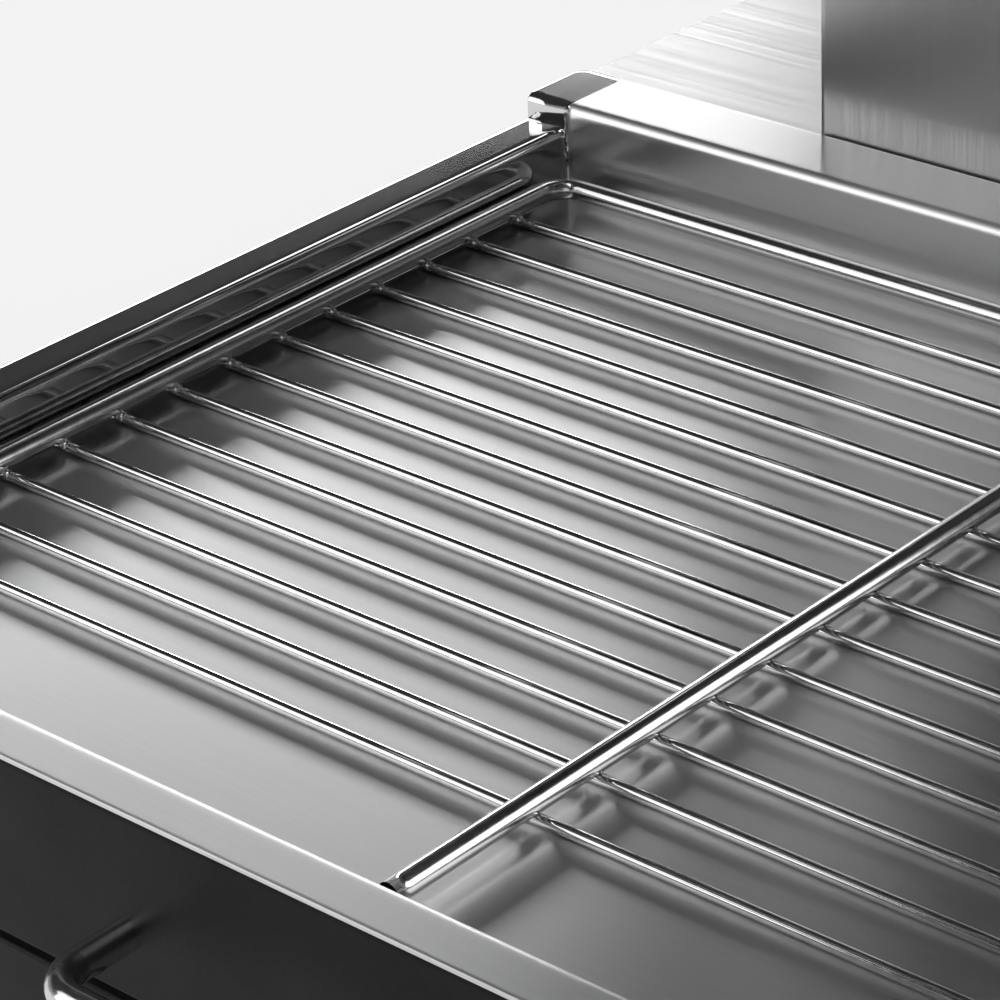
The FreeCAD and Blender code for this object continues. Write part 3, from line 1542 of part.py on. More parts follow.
os.makedirs("parts", exist_ok=True)
parts = build()
for name, solids in parts.items():
    for solid in solids:
        if not solid.isValid() or solid.Volume <= 0:
            print("check", name, solid.isValid(), solid.Volume)
    group = solids[0] if len(solids) == 1 else Part.makeCompound(solids)
    group.exportStep("parts/" + name + ".step")
print(len(parts), "nodes")
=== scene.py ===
# %% [markdown]
# # A lift-type salamander grill
# A salamander grill browns food from above. A head with heating elements slides up and down on a
# column at the back, and the food lies on a wire rack in a shallow steel pan. The measured model
# comes from the CAD step, and this notebook gives it its looks. Each step says what the real
# piece is, how it could be made in Blender, and why it is made the way it is here.

# %% Load the measured model
import bmesh
import bpy
import json
import math
from mathutils import Matrix, Vector


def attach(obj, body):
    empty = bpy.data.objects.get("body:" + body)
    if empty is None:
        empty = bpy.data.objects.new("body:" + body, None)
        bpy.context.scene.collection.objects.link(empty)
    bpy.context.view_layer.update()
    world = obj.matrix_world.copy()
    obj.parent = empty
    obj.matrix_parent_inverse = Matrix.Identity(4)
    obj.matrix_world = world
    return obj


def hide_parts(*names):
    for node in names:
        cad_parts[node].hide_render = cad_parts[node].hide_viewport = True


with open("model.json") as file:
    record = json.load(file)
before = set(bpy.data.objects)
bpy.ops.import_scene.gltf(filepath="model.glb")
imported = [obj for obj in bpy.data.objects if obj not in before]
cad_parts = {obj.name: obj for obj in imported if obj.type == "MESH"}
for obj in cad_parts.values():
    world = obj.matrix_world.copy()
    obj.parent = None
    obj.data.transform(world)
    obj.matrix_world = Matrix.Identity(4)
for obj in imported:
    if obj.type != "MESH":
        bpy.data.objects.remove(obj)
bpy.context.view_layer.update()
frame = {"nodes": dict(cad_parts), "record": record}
nodes = frame["nodes"]
print("CAD nodes:", len(nodes))

# %% [markdown]
# ## The camera
# The photograph was taken from the front right and from above, with a fairly long lens. A camera
# in Blender looks along its own -Z axis, so its matrix is built from the viewing direction, the
# picture's right and the picture's up. The small roll is part of the photograph.

# %% Camera
look_azimuth = math.radians(42.56)
look_down = math.radians(27.60)
camera_roll = math.radians(2.73)
camera_place = Vector((0.4654, -0.6667, 0.5492))
sensor_mm = 36.0
lens_mm = 137.8


def camera_matrix():
    """Where the camera stands and how it is turned."""
    right = Vector((math.cos(look_azimuth), math.sin(look_azimuth), 0))
    ahead = Vector((-math.sin(look_azimuth) * math.cos(look_down),
                    math.cos(look_azimuth) * math.cos(look_down),
                    -math.sin(look_down)))
    down = ahead.cross(right)
    rolled_right = right * math.cos(camera_roll) + down * math.sin(camera_roll)
    rolled_down = down * math.cos(camera_roll) - right * math.sin(camera_roll)
    turn = Matrix((rolled_right, -rolled_down, -ahead)).transposed().to_4x4()
    return Matrix.Translation(camera_place) @ turn


camera_data = bpy.data.cameras.new("camera")
camera_data.sensor_width = sensor_mm
camera_data.lens = lens_mm
camera = bpy.data.objects.new("camera", camera_data)
camera.matrix_world = camera_matrix()
bpy.context.scene.collection.objects.link(camera)
bpy.context.scene.camera = camera
bpy.context.scene.view_settings.view_transform = "Standard"
print("Camera at", tuple(camera.matrix_world.translation))

# %% [markdown]
# ## Helpers for the finishes
# A finish is a small network of nodes. Nearly all of them need the same three things: a place on
# the object, a noise pattern, and a way to turn that pattern's 0 to 1 into another range. The
# pattern is stretched by scaling the place, which is how a brushed grain is made.

# %% Helpers for node materials


def grey(value):
    """A colour with three equal parts."""
    return (value, value, value)


def new_finish(name, colour, roughness, metallic=0.0):
    """A new material with the shader's plain values set on its own sockets."""
    material = bpy.data.materials.new(name)
    material.use_nodes = True
    shader = material.node_tree.nodes["Principled BSDF"]
    shader.inputs["Base Color"].default_value = (*colour, 1.0)
    shader.inputs["Roughness"].default_value = roughness
    shader.inputs["Metallic"].default_value = metallic
    return material, shader


def add(material, kind, **values):
    """A new node, with some of its inputs or settings given by name."""
    node = material.node_tree.nodes.new(kind)
    for name, value in values.items():
        label = name.replace("_", " ").title()
        if label in node.inputs:
            node.inputs[label].default_value = value
        else:
            setattr(node, name, value)
    return node


def join(material, source, target):
    """A link from one node's output to another node's input."""
    material.node_tree.links.new(source, target)


def place_on(material, scale):
    """Object coordinates, stretched by a scale."""
    coordinates = add(material, "ShaderNodeTexCoord")
    mapping = add(material, "ShaderNodeMapping", scale=scale)
    join(material, coordinates.outputs["Object"], mapping.inputs["Vector"])
    return mapping.outputs["Vector"]


def noise(material, scale, detail=3.0, rough=0.5):
    """A noise pattern on stretched object coordinates."""
    node = add(material, "ShaderNodeTexNoise", scale=1.0, detail=detail, roughness=rough)
    join(material, place_on(material, scale), node.inputs["Vector"])
    return node.outputs["Fac"]


def spread(material, value, low, high, start=0.3, end=0.7):
    """A value between start and end, turned into one between low and high."""
    node = add(material, "ShaderNodeMapRange", from_min=start, from_max=end, to_min=low,
               to_max=high)
    join(material, value, node.inputs["Value"])
    return node.outputs["Result"]


def mixed(material, factor, first, second):
    """One of two values or links, by a factor between 0 and 1."""
    node = add(material, "ShaderNodeMix", data_type="FLOAT")
    for value, socket in ((factor, node.inputs[0]), (first, node.inputs[2]),
                          (second, node.inputs[3])):
        if isinstance(value, (int, float)):
            socket.default_value = value
        else:
            join(material, value, socket)
    return node.outputs[0]


def tinted(material, factor, dark, light):
    """A colour between two colours, by a factor."""
    node = add(material, "ShaderNodeMix", data_type="RGBA")
    join(material, factor, node.inputs[0])
    node.inputs[6].default_value = (*dark, 1.0)
    node.inputs[7].default_value = (*light, 1.0)
    return node.outputs[2]


def bumped(material, shader, height, distance):
    """Shallow relief from a height pattern, in metres."""
    node = add(material, "ShaderNodeBump", strength=1.0, distance=distance)
    join(material, height, node.inputs["Height"])
    join(material, node.outputs["Normal"], shader.inputs["Normal"])


print("Helpers ready")

# %% [markdown]
# ## Floor, world and lamps
# Steel shows what stands around it more than its own colour, so the room matters as much as the
# finish. The photograph's pan floor is bright where its grain collects a low, wide light that
# stands far off at the back left. The pan's left wall keeps that light off a strip beside it, and
# the column keeps it off the right half. A small lamp high on the left draws the bright lines on
# the wires, one at the back the line on the rim, and a low one at the front left lights the back
# wall. The others are weak or high, and show the outside of the grill at a plain level. The world
# is grey near the horizon and dark above it. The floor is pale and catches the grill's shadow,
# and looks white to the camera.

# %% Pale floor


def plain_white_for_rays(material, surface, amount):
    """Shows white to camera, mirror and glass rays, and the lit surface to the others."""
    rays = add(material, "ShaderNodeLightPath")
    seen = add(material, "ShaderNodeMath", operation="MAXIMUM")
    join(material, rays.outputs["Is Camera Ray"], seen.inputs[0])
    join(material, rays.outputs["Is Transmission Ray"], seen.inputs[1])
    any_ray = add(material, "ShaderNodeMath", operation="MAXIMUM")
    join(material, seen.outputs[0], any_ray.inputs[0])
    join(material, rays.outputs["Is Glossy Ray"], any_ray.inputs[1])
    part = add(material, "ShaderNodeMath", operation="MULTIPLY")
    join(material, any_ray.outputs[0], part.inputs[0])
    part.inputs[1].default_value = amount
    white = add(material, "ShaderNodeEmission", color=(1, 1, 1, 1), strength=1.0)
    mix = add(material, "ShaderNodeMixShader")
    join(material, part.outputs[0], mix.inputs[0])
    join(material, surface, mix.inputs[1])
    join(material, white.outputs[0], mix.inputs[2])
    return mix.outputs[0]


floor_size = 30.0
floor_shade = 0.86
floor_roughness = 0.7
white_part = 0.72
floor_mesh = bpy.data.meshes.new("floor")
floor_mesh.from_pydata([(-floor_size, -floor_size, 0), (floor_size, -floor_size, 0),
                        (floor_size, floor_size, 0), (-floor_size, floor_size, 0)],
                       [], [(0, 1, 2, 3)])
floor = bpy.data.objects.new("floor", floor_mesh)
bpy.context.scene.collection.objects.link(floor)
floor_finish, floor_shader = new_finish("pale_floor", grey(floor_shade), floor_roughness)
floor_output = floor_finish.node_tree.nodes["Material Output"]
join(floor_finish, plain_white_for_rays(floor_finish, floor_shader.outputs[0], white_part),
     floor_output.inputs["Surface"])
floor_mesh.materials.append(floor_finish)
print("Floor half size in metres:", floor_size)

# %% World
horizon_end = 0.12
sky_start = 0.32
horizon_shade = 0.36
sky_shade = 0.035
world = bpy.data.worlds.new("studio")
world.use_nodes = True
bpy.context.scene.world = world
world_nodes = world.node_tree.nodes
world_links = world.node_tree.links
sky_light = world_nodes["Background"]
direction = world_nodes.new("ShaderNodeTexCoord")
parts = world_nodes.new("ShaderNodeSeparateXYZ")
ramp = world_nodes.new("ShaderNodeValToRGB")
for stop, place, shade in zip(ramp.color_ramp.elements, (horizon_end, sky_start),
                              (horizon_shade, sky_shade)):
    stop.position = place
    stop.color = (*grey(shade), 1)
world_links.new(direction.outputs["Generated"], parts.inputs[0])
world_links.new(parts.outputs["Z"], ramp.inputs[0])
world_links.new(ramp.outputs[0], sky_light.inputs["Color"])
sky_light.inputs["Strength"].default_value = 1.0
white_sky = world_nodes.new("ShaderNodeBackground")
white_sky.inputs["Color"].default_value = (1, 1, 1, 1)
camera_rays = world_nodes.new("ShaderNodeLightPath")
sky_mix = world_nodes.new("ShaderNodeMixShader")
world_links.new(camera_rays.outputs["Is Camera Ray"], sky_mix.inputs[0])
world_links.new(sky_light.outputs[0], sky_mix.inputs[1])
world_links.new(white_sky.outputs[0], sky_mix.inputs[2])
world_links.new(sky_mix.outputs[0], world_nodes["World Output"].inputs["Surface"])
print("World ready")

# %% Soft lamps


lamp_target = Vector((0.0, -0.05, 0.12))


def soft_lamp(name, direction, distance, size, power):
    """A rectangular lamp that faces the pan from a direction."""
    data = bpy.data.lights.new(name, "AREA")
    data.shape = "RECTANGLE"
    data.size, data.size_y = size
    data.energy = power
    lamp = bpy.data.objects.new(name, data)
    aim = Vector(direction).normalized()
    lamp.location = lamp_target + aim * distance
    lamp.rotation_euler = aim.to_track_quat("Z", "Y").to_euler()
    lamp.visible_camera = False
    bpy.context.scene.collection.objects.link(lamp)
    print(name, "at", tuple(round(value, 2) for value in lamp.location))


# Each line has a name, a direction, a distance and a size in metres, and a power in watts.
for lamp_row in (
        ("left_softbox", (-0.64, -0.54, 0.545), 1.8, (0.8, 0.60), 2.3),
        ("left_back_softbox", (-0.696, 0.672, 0.255), 4.2, (1.48, 0.60), 26.0),
        ("back_softbox", (-0.37, 0.64, 0.67), 1.8, (0.5, 0.3), 1.1),
        ("side_softbox", (0.66, 0.66, 0.30), 1.8, (1.2, 1.3), 13.0),
        ("left_front_softbox", (-0.66, -0.71, 0.24), 2.4, (1.1, 0.9), 8.8),
        ("front_fill", (0.30, -0.90, 0.33), 2.4, (1.2, 1.2), 3.0),
        ("top_softbox", (0.10, -0.35, 0.93), 2.6, (1.8, 1.8), 42.0)):
    soft_lamp(*lamp_row)

# %% [markdown]
# ## Brushed steel
# Brushed stainless steel is covered in fine parallel scratches. A highlight on it is drawn out
# across the scratches, which the shader's anisotropic setting does, with a tangent that follows
# the grain. The scratches themselves are a noise pattern that is stretched along the grain: it
# varies the roughness, the colour a little, and the height by a hair. Softer and larger noise
# adds the cloudy wear of cleaning.

# %% Brushed steel finish
facing_limit = 0.7
flange_limit = 0.2215
fine_grain = 1700
long_grain = 7
cloud_grain = 26
tint = 0.02
tangent_lean = 0.02


def past_limit(material, source, axis, limit):
    """1 where one part of a coordinate is past a limit on either side, and 0 elsewhere."""
    coordinates = add(material, "ShaderNodeTexCoord")
    parts = add(material, "ShaderNodeSeparateXYZ")
    join(material, coordinates.outputs[source], parts.inputs[0])
    size = add(material, "ShaderNodeMath", operation="ABSOLUTE")
    join(material, parts.outputs[axis], size.inputs[0])
    mask = add(material, "ShaderNodeMath", operation="GREATER_THAN")
    join(material, size.outputs[0], mask.inputs[0])
    mask.inputs[1].default_value = limit
    return mask.outputs[0]


def facing_mask(axis):
    """A maker of a mask for the faces that look along an axis, up or down it."""
    return lambda material: past_limit(material, "Normal", axis, facing_limit)


def two_tangents(material, shader, mask):
    """Across the grain: the grain runs along X where the mask is 0 and along Y where it is 1."""
    node = add(material, "ShaderNodeMix", data_type="VECTOR")
    join(material, mask, node.inputs[0])
    node.inputs[4].default_value = (0, 1, tangent_lean)
    node.inputs[5].default_value = (1, 0, tangent_lean)
    join(material, node.outputs[1], shader.inputs["Tangent"])


def brushed_steel(name, shade, low, high, mask_maker, anisotropic, relief=0.0000002,
                  there=None, upright=False, drift=0.010):
    """Steel with a fine grain along X, or along Y where the mask says so. The mask can also
    change the roughness and the anisotropy there. Upright faces can have a grain along Z."""
    material, shader = new_finish(name, grey(shade), low, 1.0)
    mask = mask_maker(material)
    less_rough, anisotropic_there = there or (0.0, anisotropic)
    join(material, mixed(material, mask, anisotropic, anisotropic_there),
         shader.inputs["Anisotropic"])
    two_tangents(material, shader, mask)
    if upright:
        streak = noise(material, (fine_grain, fine_grain, long_grain), detail=2.0)
    else:
        streak_x = noise(material, (long_grain, fine_grain, fine_grain), detail=2.0)
        streak_y = noise(material, (fine_grain, long_grain, fine_grain), detail=2.0)
        streak = mixed(material, mask, streak_x, streak_y)
    cloud = noise(material, grey(cloud_grain))
    rough = add(material, "ShaderNodeMath", operation="ADD")
    join(material, spread(material, streak, low, high), rough.inputs[0])
    join(material, spread(material, cloud, -drift, drift), rough.inputs[1])
    less = add(material, "ShaderNodeMath", operation="SUBTRACT")
    join(material, rough.outputs[0], less.inputs[0])
    join(material, mixed(material, mask, 0.0, less_rough), less.inputs[1])
    join(material, less.outputs[0], shader.inputs["Roughness"])
    colour = tinted(material, spread(material, streak, 0.0, 1.0),
                    grey(shade * (1 - tint)), grey(shade * (1 + tint)))
    join(material, colour, shader.inputs["Base Color"])
    if relief:
        bumped(material, shader, streak, relief)
    return material


pan_steel = brushed_steel(
    "pan_steel", 0.68, 0.301, 0.309,
    lambda material: past_limit(material, "Object", "X", flange_limit),
    anisotropic=0.9, relief=0.0, there=(0.23, 0.2), drift=0.002)
cover_steel = brushed_steel("cover_steel", 0.58, 0.33, 0.42, facing_mask("X"), 0.7)
column_steel = brushed_steel("column_steel", 0.52, 0.30, 0.38, facing_mask("Y"), 0.7,
                             upright=True)
inner_steel = brushed_steel("inner_steel", 0.50, 0.34, 0.50, facing_mask("X"), 0.3)
print("Steel finishes:", pan_steel.name, cover_steel.name, inner_steel.name)

# %% [markdown]
# ## Smooth metals
# The rack's rods are drawn wire: smooth, bright, with a slight waviness along their length and
# faint draw marks. Screws, shafts and the handle are turned or polished, so their noise is finer.
# The reflector and the heating elements have been hot, which leaves them dull and mottled. The
# reflector's colour is also made nearly black as painted shade, so that the pan mirrors a dark
# head.

# %% Drawn, turned and heated metal finishes


def smooth_metal(name, dark, light, low, high, grain, relief, wave=None):
    """A metal whose colour and roughness change with one noise pattern."""
    material, shader = new_finish(name, light, low, 1.0)
    pattern = noise(material, grain, detail=4.0, rough=0.55)
    join(material, spread(material, pattern, low, high), shader.inputs["Roughness"])
    join(material, tinted(material, spread(material, pattern, 0.0, 1.0), dark, light),
         shader.inputs["Base Color"])
    height = pattern if wave is None else noise(material, wave, detail=2.0)
    bumped(material, shader, height, relief)
    return material


# Each row has a dark and a light colour, the least and the largest roughness, the scale of the
# pattern and the depth of the relief in metres, which can have a wave pattern of its own.
metal_rows = {
    "rack_steel": (grey(0.60), grey(0.70), 0.05, 0.10, grey(420), 0.000006, grey(150)),
    "rod_steel": (grey(0.58), grey(0.66), 0.15, 0.21, grey(380), 0.00004, grey(130)),
    "bright_trim": (grey(0.62), grey(0.74), 0.12, 0.22, (300, 1800, 1800), 0.000006),
    "screw_steel": (grey(0.46), grey(0.64), 0.22, 0.38, grey(900), 0.00001),
    # The reflector's near-black colour is painted shade, so that the pan's floor mirrors a dark
    # head.
    "reflector_metal": (grey(0.07), grey(0.15), 0.42, 0.62, grey(45), 0.0001),
    "element_metal": (grey(0.05), (0.14, 0.13, 0.13), 0.45, 0.7, grey(260), 0.00004),
    "bush_bronze": ((0.46, 0.30, 0.14), (0.62, 0.43, 0.22), 0.3, 0.45, grey(500), 0.00002),
    "cast_alloy": ((0.42, 0.42, 0.43), (0.56, 0.56, 0.57), 0.42, 0.6, grey(700), 0.00008),
    "shaft_brass": ((0.55, 0.42, 0.18), (0.74, 0.58, 0.28), 0.2, 0.35, (900, 900, 200), 0.00001),
}
metals = {name: smooth_metal(name, *row) for name, row in metal_rows.items()}
print("Smooth metals ready")

# %% [markdown]
# ## Painted, moulded and fired finishes
# Paint, plastic, rubber and ceramic aren't metals: their colour is their own and the gloss on top
# is weak. The black enamel is its own black and partly painted shade: its colour and its gloss are
# set below those of black paint, so that the fascia looks as dark as shade. What tells them apart
# is the relief. Baked enamel has a shallow orange peel, moulded plastic a fine spark texture,
# rubber a soft bloom, and fired ceramic a chalky grain.

# %% Enamel, plastic, rubber, glass and ceramic finishes
patch_grain = 30
coat_roughness = 0.12


def moulded(name, dark, light, low, high, grain, relief, coat=0.0):
    """A non-metal with a fine relief and a slight change of shade."""
    material, shader = new_finish(name, light, low)
    shader.inputs["Coat Weight"].default_value = coat
    shader.inputs["Coat Roughness"].default_value = coat_roughness
    pattern = noise(material, grey(grain), rough=0.55)
    patches = noise(material, grey(patch_grain), detail=2.0)
    join(material, spread(material, patches, low, high), shader.inputs["Roughness"])
    join(material, tinted(material, spread(material, pattern, 0.0, 1.0), dark, light),
         shader.inputs["Base Color"])
    bumped(material, shader, pattern, relief)
    return material


# Each row has a dark and a light colour, the least and the largest roughness, the scale of the
# grain, the depth of the relief in metres, and for some the weight of a clear coat.
moulded_rows = {
    # The enamel's colour is black paint and painted shade together: it is darker than real paint.
    "black_enamel": (grey(0.004), grey(0.007), 0.38, 0.50, 700, 0.00002),
    "black_plastic": (grey(0.010), grey(0.022), 0.36, 0.5, 2600, 0.00004),
    "switch_plastic": (grey(0.012), grey(0.020), 0.25, 0.36, 2200, 0.00002),
    "foot_rubber": (grey(0.012), grey(0.030), 0.6, 0.8, 1500, 0.00006),
    "strut_black": ((0.010, 0.010, 0.011), (0.018, 0.018, 0.019), 0.28, 0.4, 900, 0.00002, 0.2),
    "white_ceramic": ((0.66, 0.65, 0.62), (0.80, 0.79, 0.76), 0.35, 0.55, 1400, 0.00004),
    "fibre_blanket": ((0.58, 0.56, 0.52), (0.78, 0.76, 0.72), 0.85, 0.95, 900, 0.0006),
    "lamp_amber": ((0.55, 0.16, 0.02), (0.80, 0.28, 0.04), 0.1, 0.2, 500, 0.00002, 0.6),
    "mark_white": (grey(0.70), grey(0.80), 0.4, 0.5, 1200, 0.00001),
}
mouldings = {name: moulded(name, *row) for name, row in moulded_rows.items()}
# The black enamel's very low gloss adds to its painted shade.
for name, label, value in (("black_enamel", "Specular IOR Level", 0.14),
                           ("lamp_amber", "Transmission Weight", 0.45)):
    mouldings[name].node_tree.nodes["Principled BSDF"].inputs[label].default_value = value
print("Moulded finishes ready")

# %% [markdown]
# ## Every CAD node gets its finish
# The record lists one slot of finish for each group of nodes. A table from slot to material keeps
# the whole model consistent: the node's mesh is never touched, only its material slots.

# %% Finishes on the CAD nodes
finishes = {"pan_steel": pan_steel, "cover_steel": cover_steel, "inner_steel": inner_steel,
            **metals, **mouldings}
slots = {entry["node"]: entry["material_slot"] for entry in frame["record"]["subparts"]}
for node_name, slot_name in slots.items():
    mesh = nodes[node_name].data
    mesh.materials.clear()
    mesh.materials.append(finishes[slot_name])
nodes["column_cover"].data.materials[0] = column_steel
print("Nodes with a finish:", len(slots))

# %% [markdown]
# ## The grill pan
# The pan is one sheet of steel pressed into a shallow tray. Where the floor meets a wall, and
# where a wall turns out into its flange, the sheet bends in a small arc, and those arcs carry the
# bright lines of the photograph. The sheet is built as strips: one line of points is pushed
# along a profile of offsets and heights, and neighbouring lines are joined with faces. A Solidify
# modifier then gives the sheet its thickness on the hidden side.

# %% Sizes of the pan
sheet = 0.0012
pan_half = 0.223
pan_front = -0.2075
pan_back = 0.1185
pan_floor = 0.1057
rim_top = 0.1252
back_top = 0.1327
side_flange = 0.014
front_flange = 0.0145
back_flange = 0.025
floor_bend = 0.002
rim_bend = 0.0027
pan_corner = 0.003
flange_corner = 0.004
ease = 0.0012
least_radius = 0.0004
corner_steps = 8
flange_steps = 5
bend_steps = 7
touch = 0.0002
print("Pan inside:", round(2 * pan_half, 3), "by", round(pan_back - pan_front, 3), "m")

# %% Outlines and strips


def outline(half, front, back, radius, steps=corner_steps):
    """A rectangle with round corners, from the back left corner towards the front."""
    corners = [(-half + radius, back - radius, 90), (-half + radius, front + radius, 180),
               (half - radius, front + radius, 270), (half - radius, back - radius, 0)]
    points = []
    for x, y, start in corners:
        for step in range(steps + 1):
            angle = math.radians(start + 90 * step / steps)
            points.append((x + radius * math.cos(angle), y + radius * math.sin(angle)))
    return points


def wall_ring(outward):
    """The line of the walls, moved outward, or inward where the number is negative."""
    radius = max(pan_corner + outward, least_radius)
    return outline(pan_half + outward, pan_front - outward, pan_back + outward, radius)


def at_height(points, z):
    """Points of an outline, raised to a height."""
    return [(x, y, z) for x, y in points]


def arc_steps(count=bend_steps):
    """Angles from 0 to a quarter turn."""
    return [math.pi / 2 * step / (count - 1) for step in range(count)]


def add_strip(vertices, faces, rows, closed):
    """Joins neighbouring rows of points with faces."""
    first = len(vertices)
    width = len(rows[0])
    for row in rows:
        vertices.extend(row)
    for number in range(len(rows) - 1):
        for place in range(width if closed else width - 1):
            after = (place + 1) % width
            inner = first + number * width
            outer = inner + width
            faces.append((inner + place, outer + place, outer + after, inner + after))


print("Points in one ring:", len(wall_ring(0.0)))

# %% Rows of the tray, the rim and the back
wall_top = rim_top - rim_bend
corner_points = corner_steps + 1
mid_corner = corner_steps // 2
last_mid = 3 * corner_points + mid_corner
past_back = slice(mid_corner, last_mid + 1)
front_corners = slice(corner_points, 3 * corner_points)


def tray_rows():
    """From the floor, through the bend, up to where the rim starts to turn."""
    rows = [at_height(wall_ring(-floor_bend - ease), pan_floor)]
    for angle in arc_steps():
        rows.append(at_height(wall_ring(-floor_bend * (1 - math.sin(angle))),
                              pan_floor + floor_bend * (1 - math.cos(angle))))
    rows.append(at_height(wall_ring(0.0), pan_floor + floor_bend + ease))
    rows.append(at_height(wall_ring(0.0), wall_top - ease))
    rows.append(at_height(wall_ring(0.0), wall_top))
    return rows


def rim_rows():
    """The left, front and right walls turn out into their flanges."""
    rows = []
    for angle in arc_steps():
        ring = wall_ring(rim_bend * (1 - math.cos(angle)))[past_back]
        rows.append([(x, min(y, pan_back), wall_top + rim_bend * math.sin(angle))
                     for x, y in ring])
    ring = wall_ring(rim_bend + ease)[past_back]
    rows.append([(x, min(y, pan_back), rim_top) for x, y in ring])
    for inset in (ease, 0.0):
        edge = pan_half + side_flange - inset
        ring = outline(edge, pan_front - front_flange + inset, pan_back,
                       flange_corner - inset)[front_corners]
        share = [step / mid_corner for step in range(mid_corner + 1)]
        left = [(-edge, pan_back - pan_corner * part) for part in share]
        right = [(edge, pan_back - pan_corner * (1 - part)) for part in share]
        rows.append(at_height(left + ring + right, rim_top))
    return rows


def back_rows():
    """The back wall stands higher and turns into the widest flange."""
    ring = wall_ring(0.0)
    edge = pan_half + side_flange
    round_x = [edge - flange_corner * (1 - math.cos(angle)) for angle in arc_steps(flange_steps)]
    round_y = [flange_corner * math.sin(angle) for angle in arc_steps(flange_steps)]
    right = [(x, pan_back) for x in round_x] + [(pan_half, pan_back)]
    left = [(-x, y) for x, y in reversed(right)]
    line = right + ring[last_mid:] + ring[:mid_corner + 1] + left
    ends = [pan_back + back_flange - flange_corner + y for y in round_y]
    far = ends + [pan_back + back_flange] * (len(line) - 2 * flange_steps) + ends[::-1]
    low = [rim_top - sheet if abs(x) > pan_half - touch else wall_top for x, y in line]
    rows = [[(x, y, z) for (x, y), z in zip(line, low)]]
    turn = back_top - rim_bend
    rows.append([(x, y, turn - ease) for x, y in line])
    for angle in arc_steps():
        rows.append([(x, y + rim_bend * (1 - math.cos(angle)), turn + rim_bend * math.sin(angle))
                     for x, y in line])
    rows.append([(x, pan_back + rim_bend + ease, back_top) for x, y in line])
    rows.append([(x, y - ease, back_top) for (x, _), y in zip(line, far)])
    rows.append([(x, y, back_top) for (x, _), y in zip(line, far)])
    return rows


print("Rows:", len(tray_rows()), len(rim_rows()), len(back_rows()))

# %% Build the pan
merge_distance = 0.000001
eased_edge = 0.00025
eased_angle = 60


def finished(name, mesh, material, body, replaced=()):
    """Links a mesh as a piece that rides on a body."""
    piece = bpy.data.objects.new(name, mesh)
    bpy.context.scene.collection.objects.link(piece)
    mesh.materials.clear()
    mesh.materials.append(material)
    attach(piece, body)
    if replaced:
        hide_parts(*replaced)
    print(name, "has", len(mesh.polygons), "faces")
    return piece


def mesh_of(name, vertices, faces, smooth=True):
    """A mesh from points and faces, with doubles merged."""
    mesh = bpy.data.meshes.new(name)
    mesh.from_pydata(vertices, [], faces)
    work = bmesh.new()
    work.from_mesh(mesh)
    bmesh.ops.remove_doubles(work, verts=work.verts, dist=merge_distance)
    bmesh.ops.dissolve_degenerate(work, edges=work.edges, dist=merge_distance)
    work.to_mesh(mesh)
    work.free()
    for face in mesh.polygons:
        face.use_smooth = smooth
    return mesh


vertices = []
faces = []
add_strip(vertices, faces, tray_rows(), True)
faces.insert(0, tuple(range(len(wall_ring(0.0)))))
add_strip(vertices, faces, rim_rows(), False)
add_strip(vertices, faces, back_rows(), False)
pan = finished("pan_sheet", mesh_of("pan_sheet", vertices, faces), pan_steel, "pan",
               ["grill_pan"])
thickness = pan.modifiers.new("sheet thickness", "SOLIDIFY")
thickness.thickness = sheet
thickness.offset = -1.0
edges = pan.modifiers.new("eased edges", "BEVEL")
edges.width = eased_edge
edges.segments = 2
edges.limit_method = "ANGLE"
edges.angle_limit = math.radians(eased_angle)

# %% [markdown]
# ## The rack's rods
# The rack is welded from thick rods and thin wires. The outer rod is bent into one closed loop
# and a cross rod runs down its middle. A rod is a circle swept along a line, so each is a ring of
# points that is carried along the line and joined up, with its corners as real arcs.

# %% Rods of the rack
rod_radius = 0.003
wire_radius = 0.0015
wire_height = 0.1073
rod_height = 0.1116
rack_left = -0.2182
rack_right = 0.2118
rack_middle = (rack_left + rack_right) / 2
rack_front = -0.1989
rack_back = 0.1099
rack_corner = 0.009
corner_parts = 14
rod_sides = 28
weld_bite = 0.0002
line_step = 0.004


def sweep(points, radius, closed):
    """A round tube along points that lie in one level plane."""
    rows = []
    count = len(points)
    for number, (x, y, z) in enumerate(points):
        before = points[number - 1] if closed or number else points[0]
        after = points[(number + 1) % count] if closed or number < count - 1 else points[-1]
        ahead = Vector((after[0] - before[0], after[1] - before[1], 0)).normalized()
        aside = Vector((ahead.y, -ahead.x, 0))
        row = []
        for side in range(rod_sides):
            angle = 2 * math.pi * side / rod_sides
            point = Vector((x, y, z)) + aside * radius * math.cos(angle)
            row.append(tuple(point + Vector((0, 0, radius * math.sin(angle)))))
        rows.append(row)
    if closed:
        rows.append(rows[0])
    return rows


def along(start, end):
    """Points at even steps from start to end, both included."""
    first = Vector(start)
    last = Vector(end)
    count = max(int((last - first).length / line_step), 1)
    return [tuple(first.lerp(last, number / count)) for number in range(count + 1)]


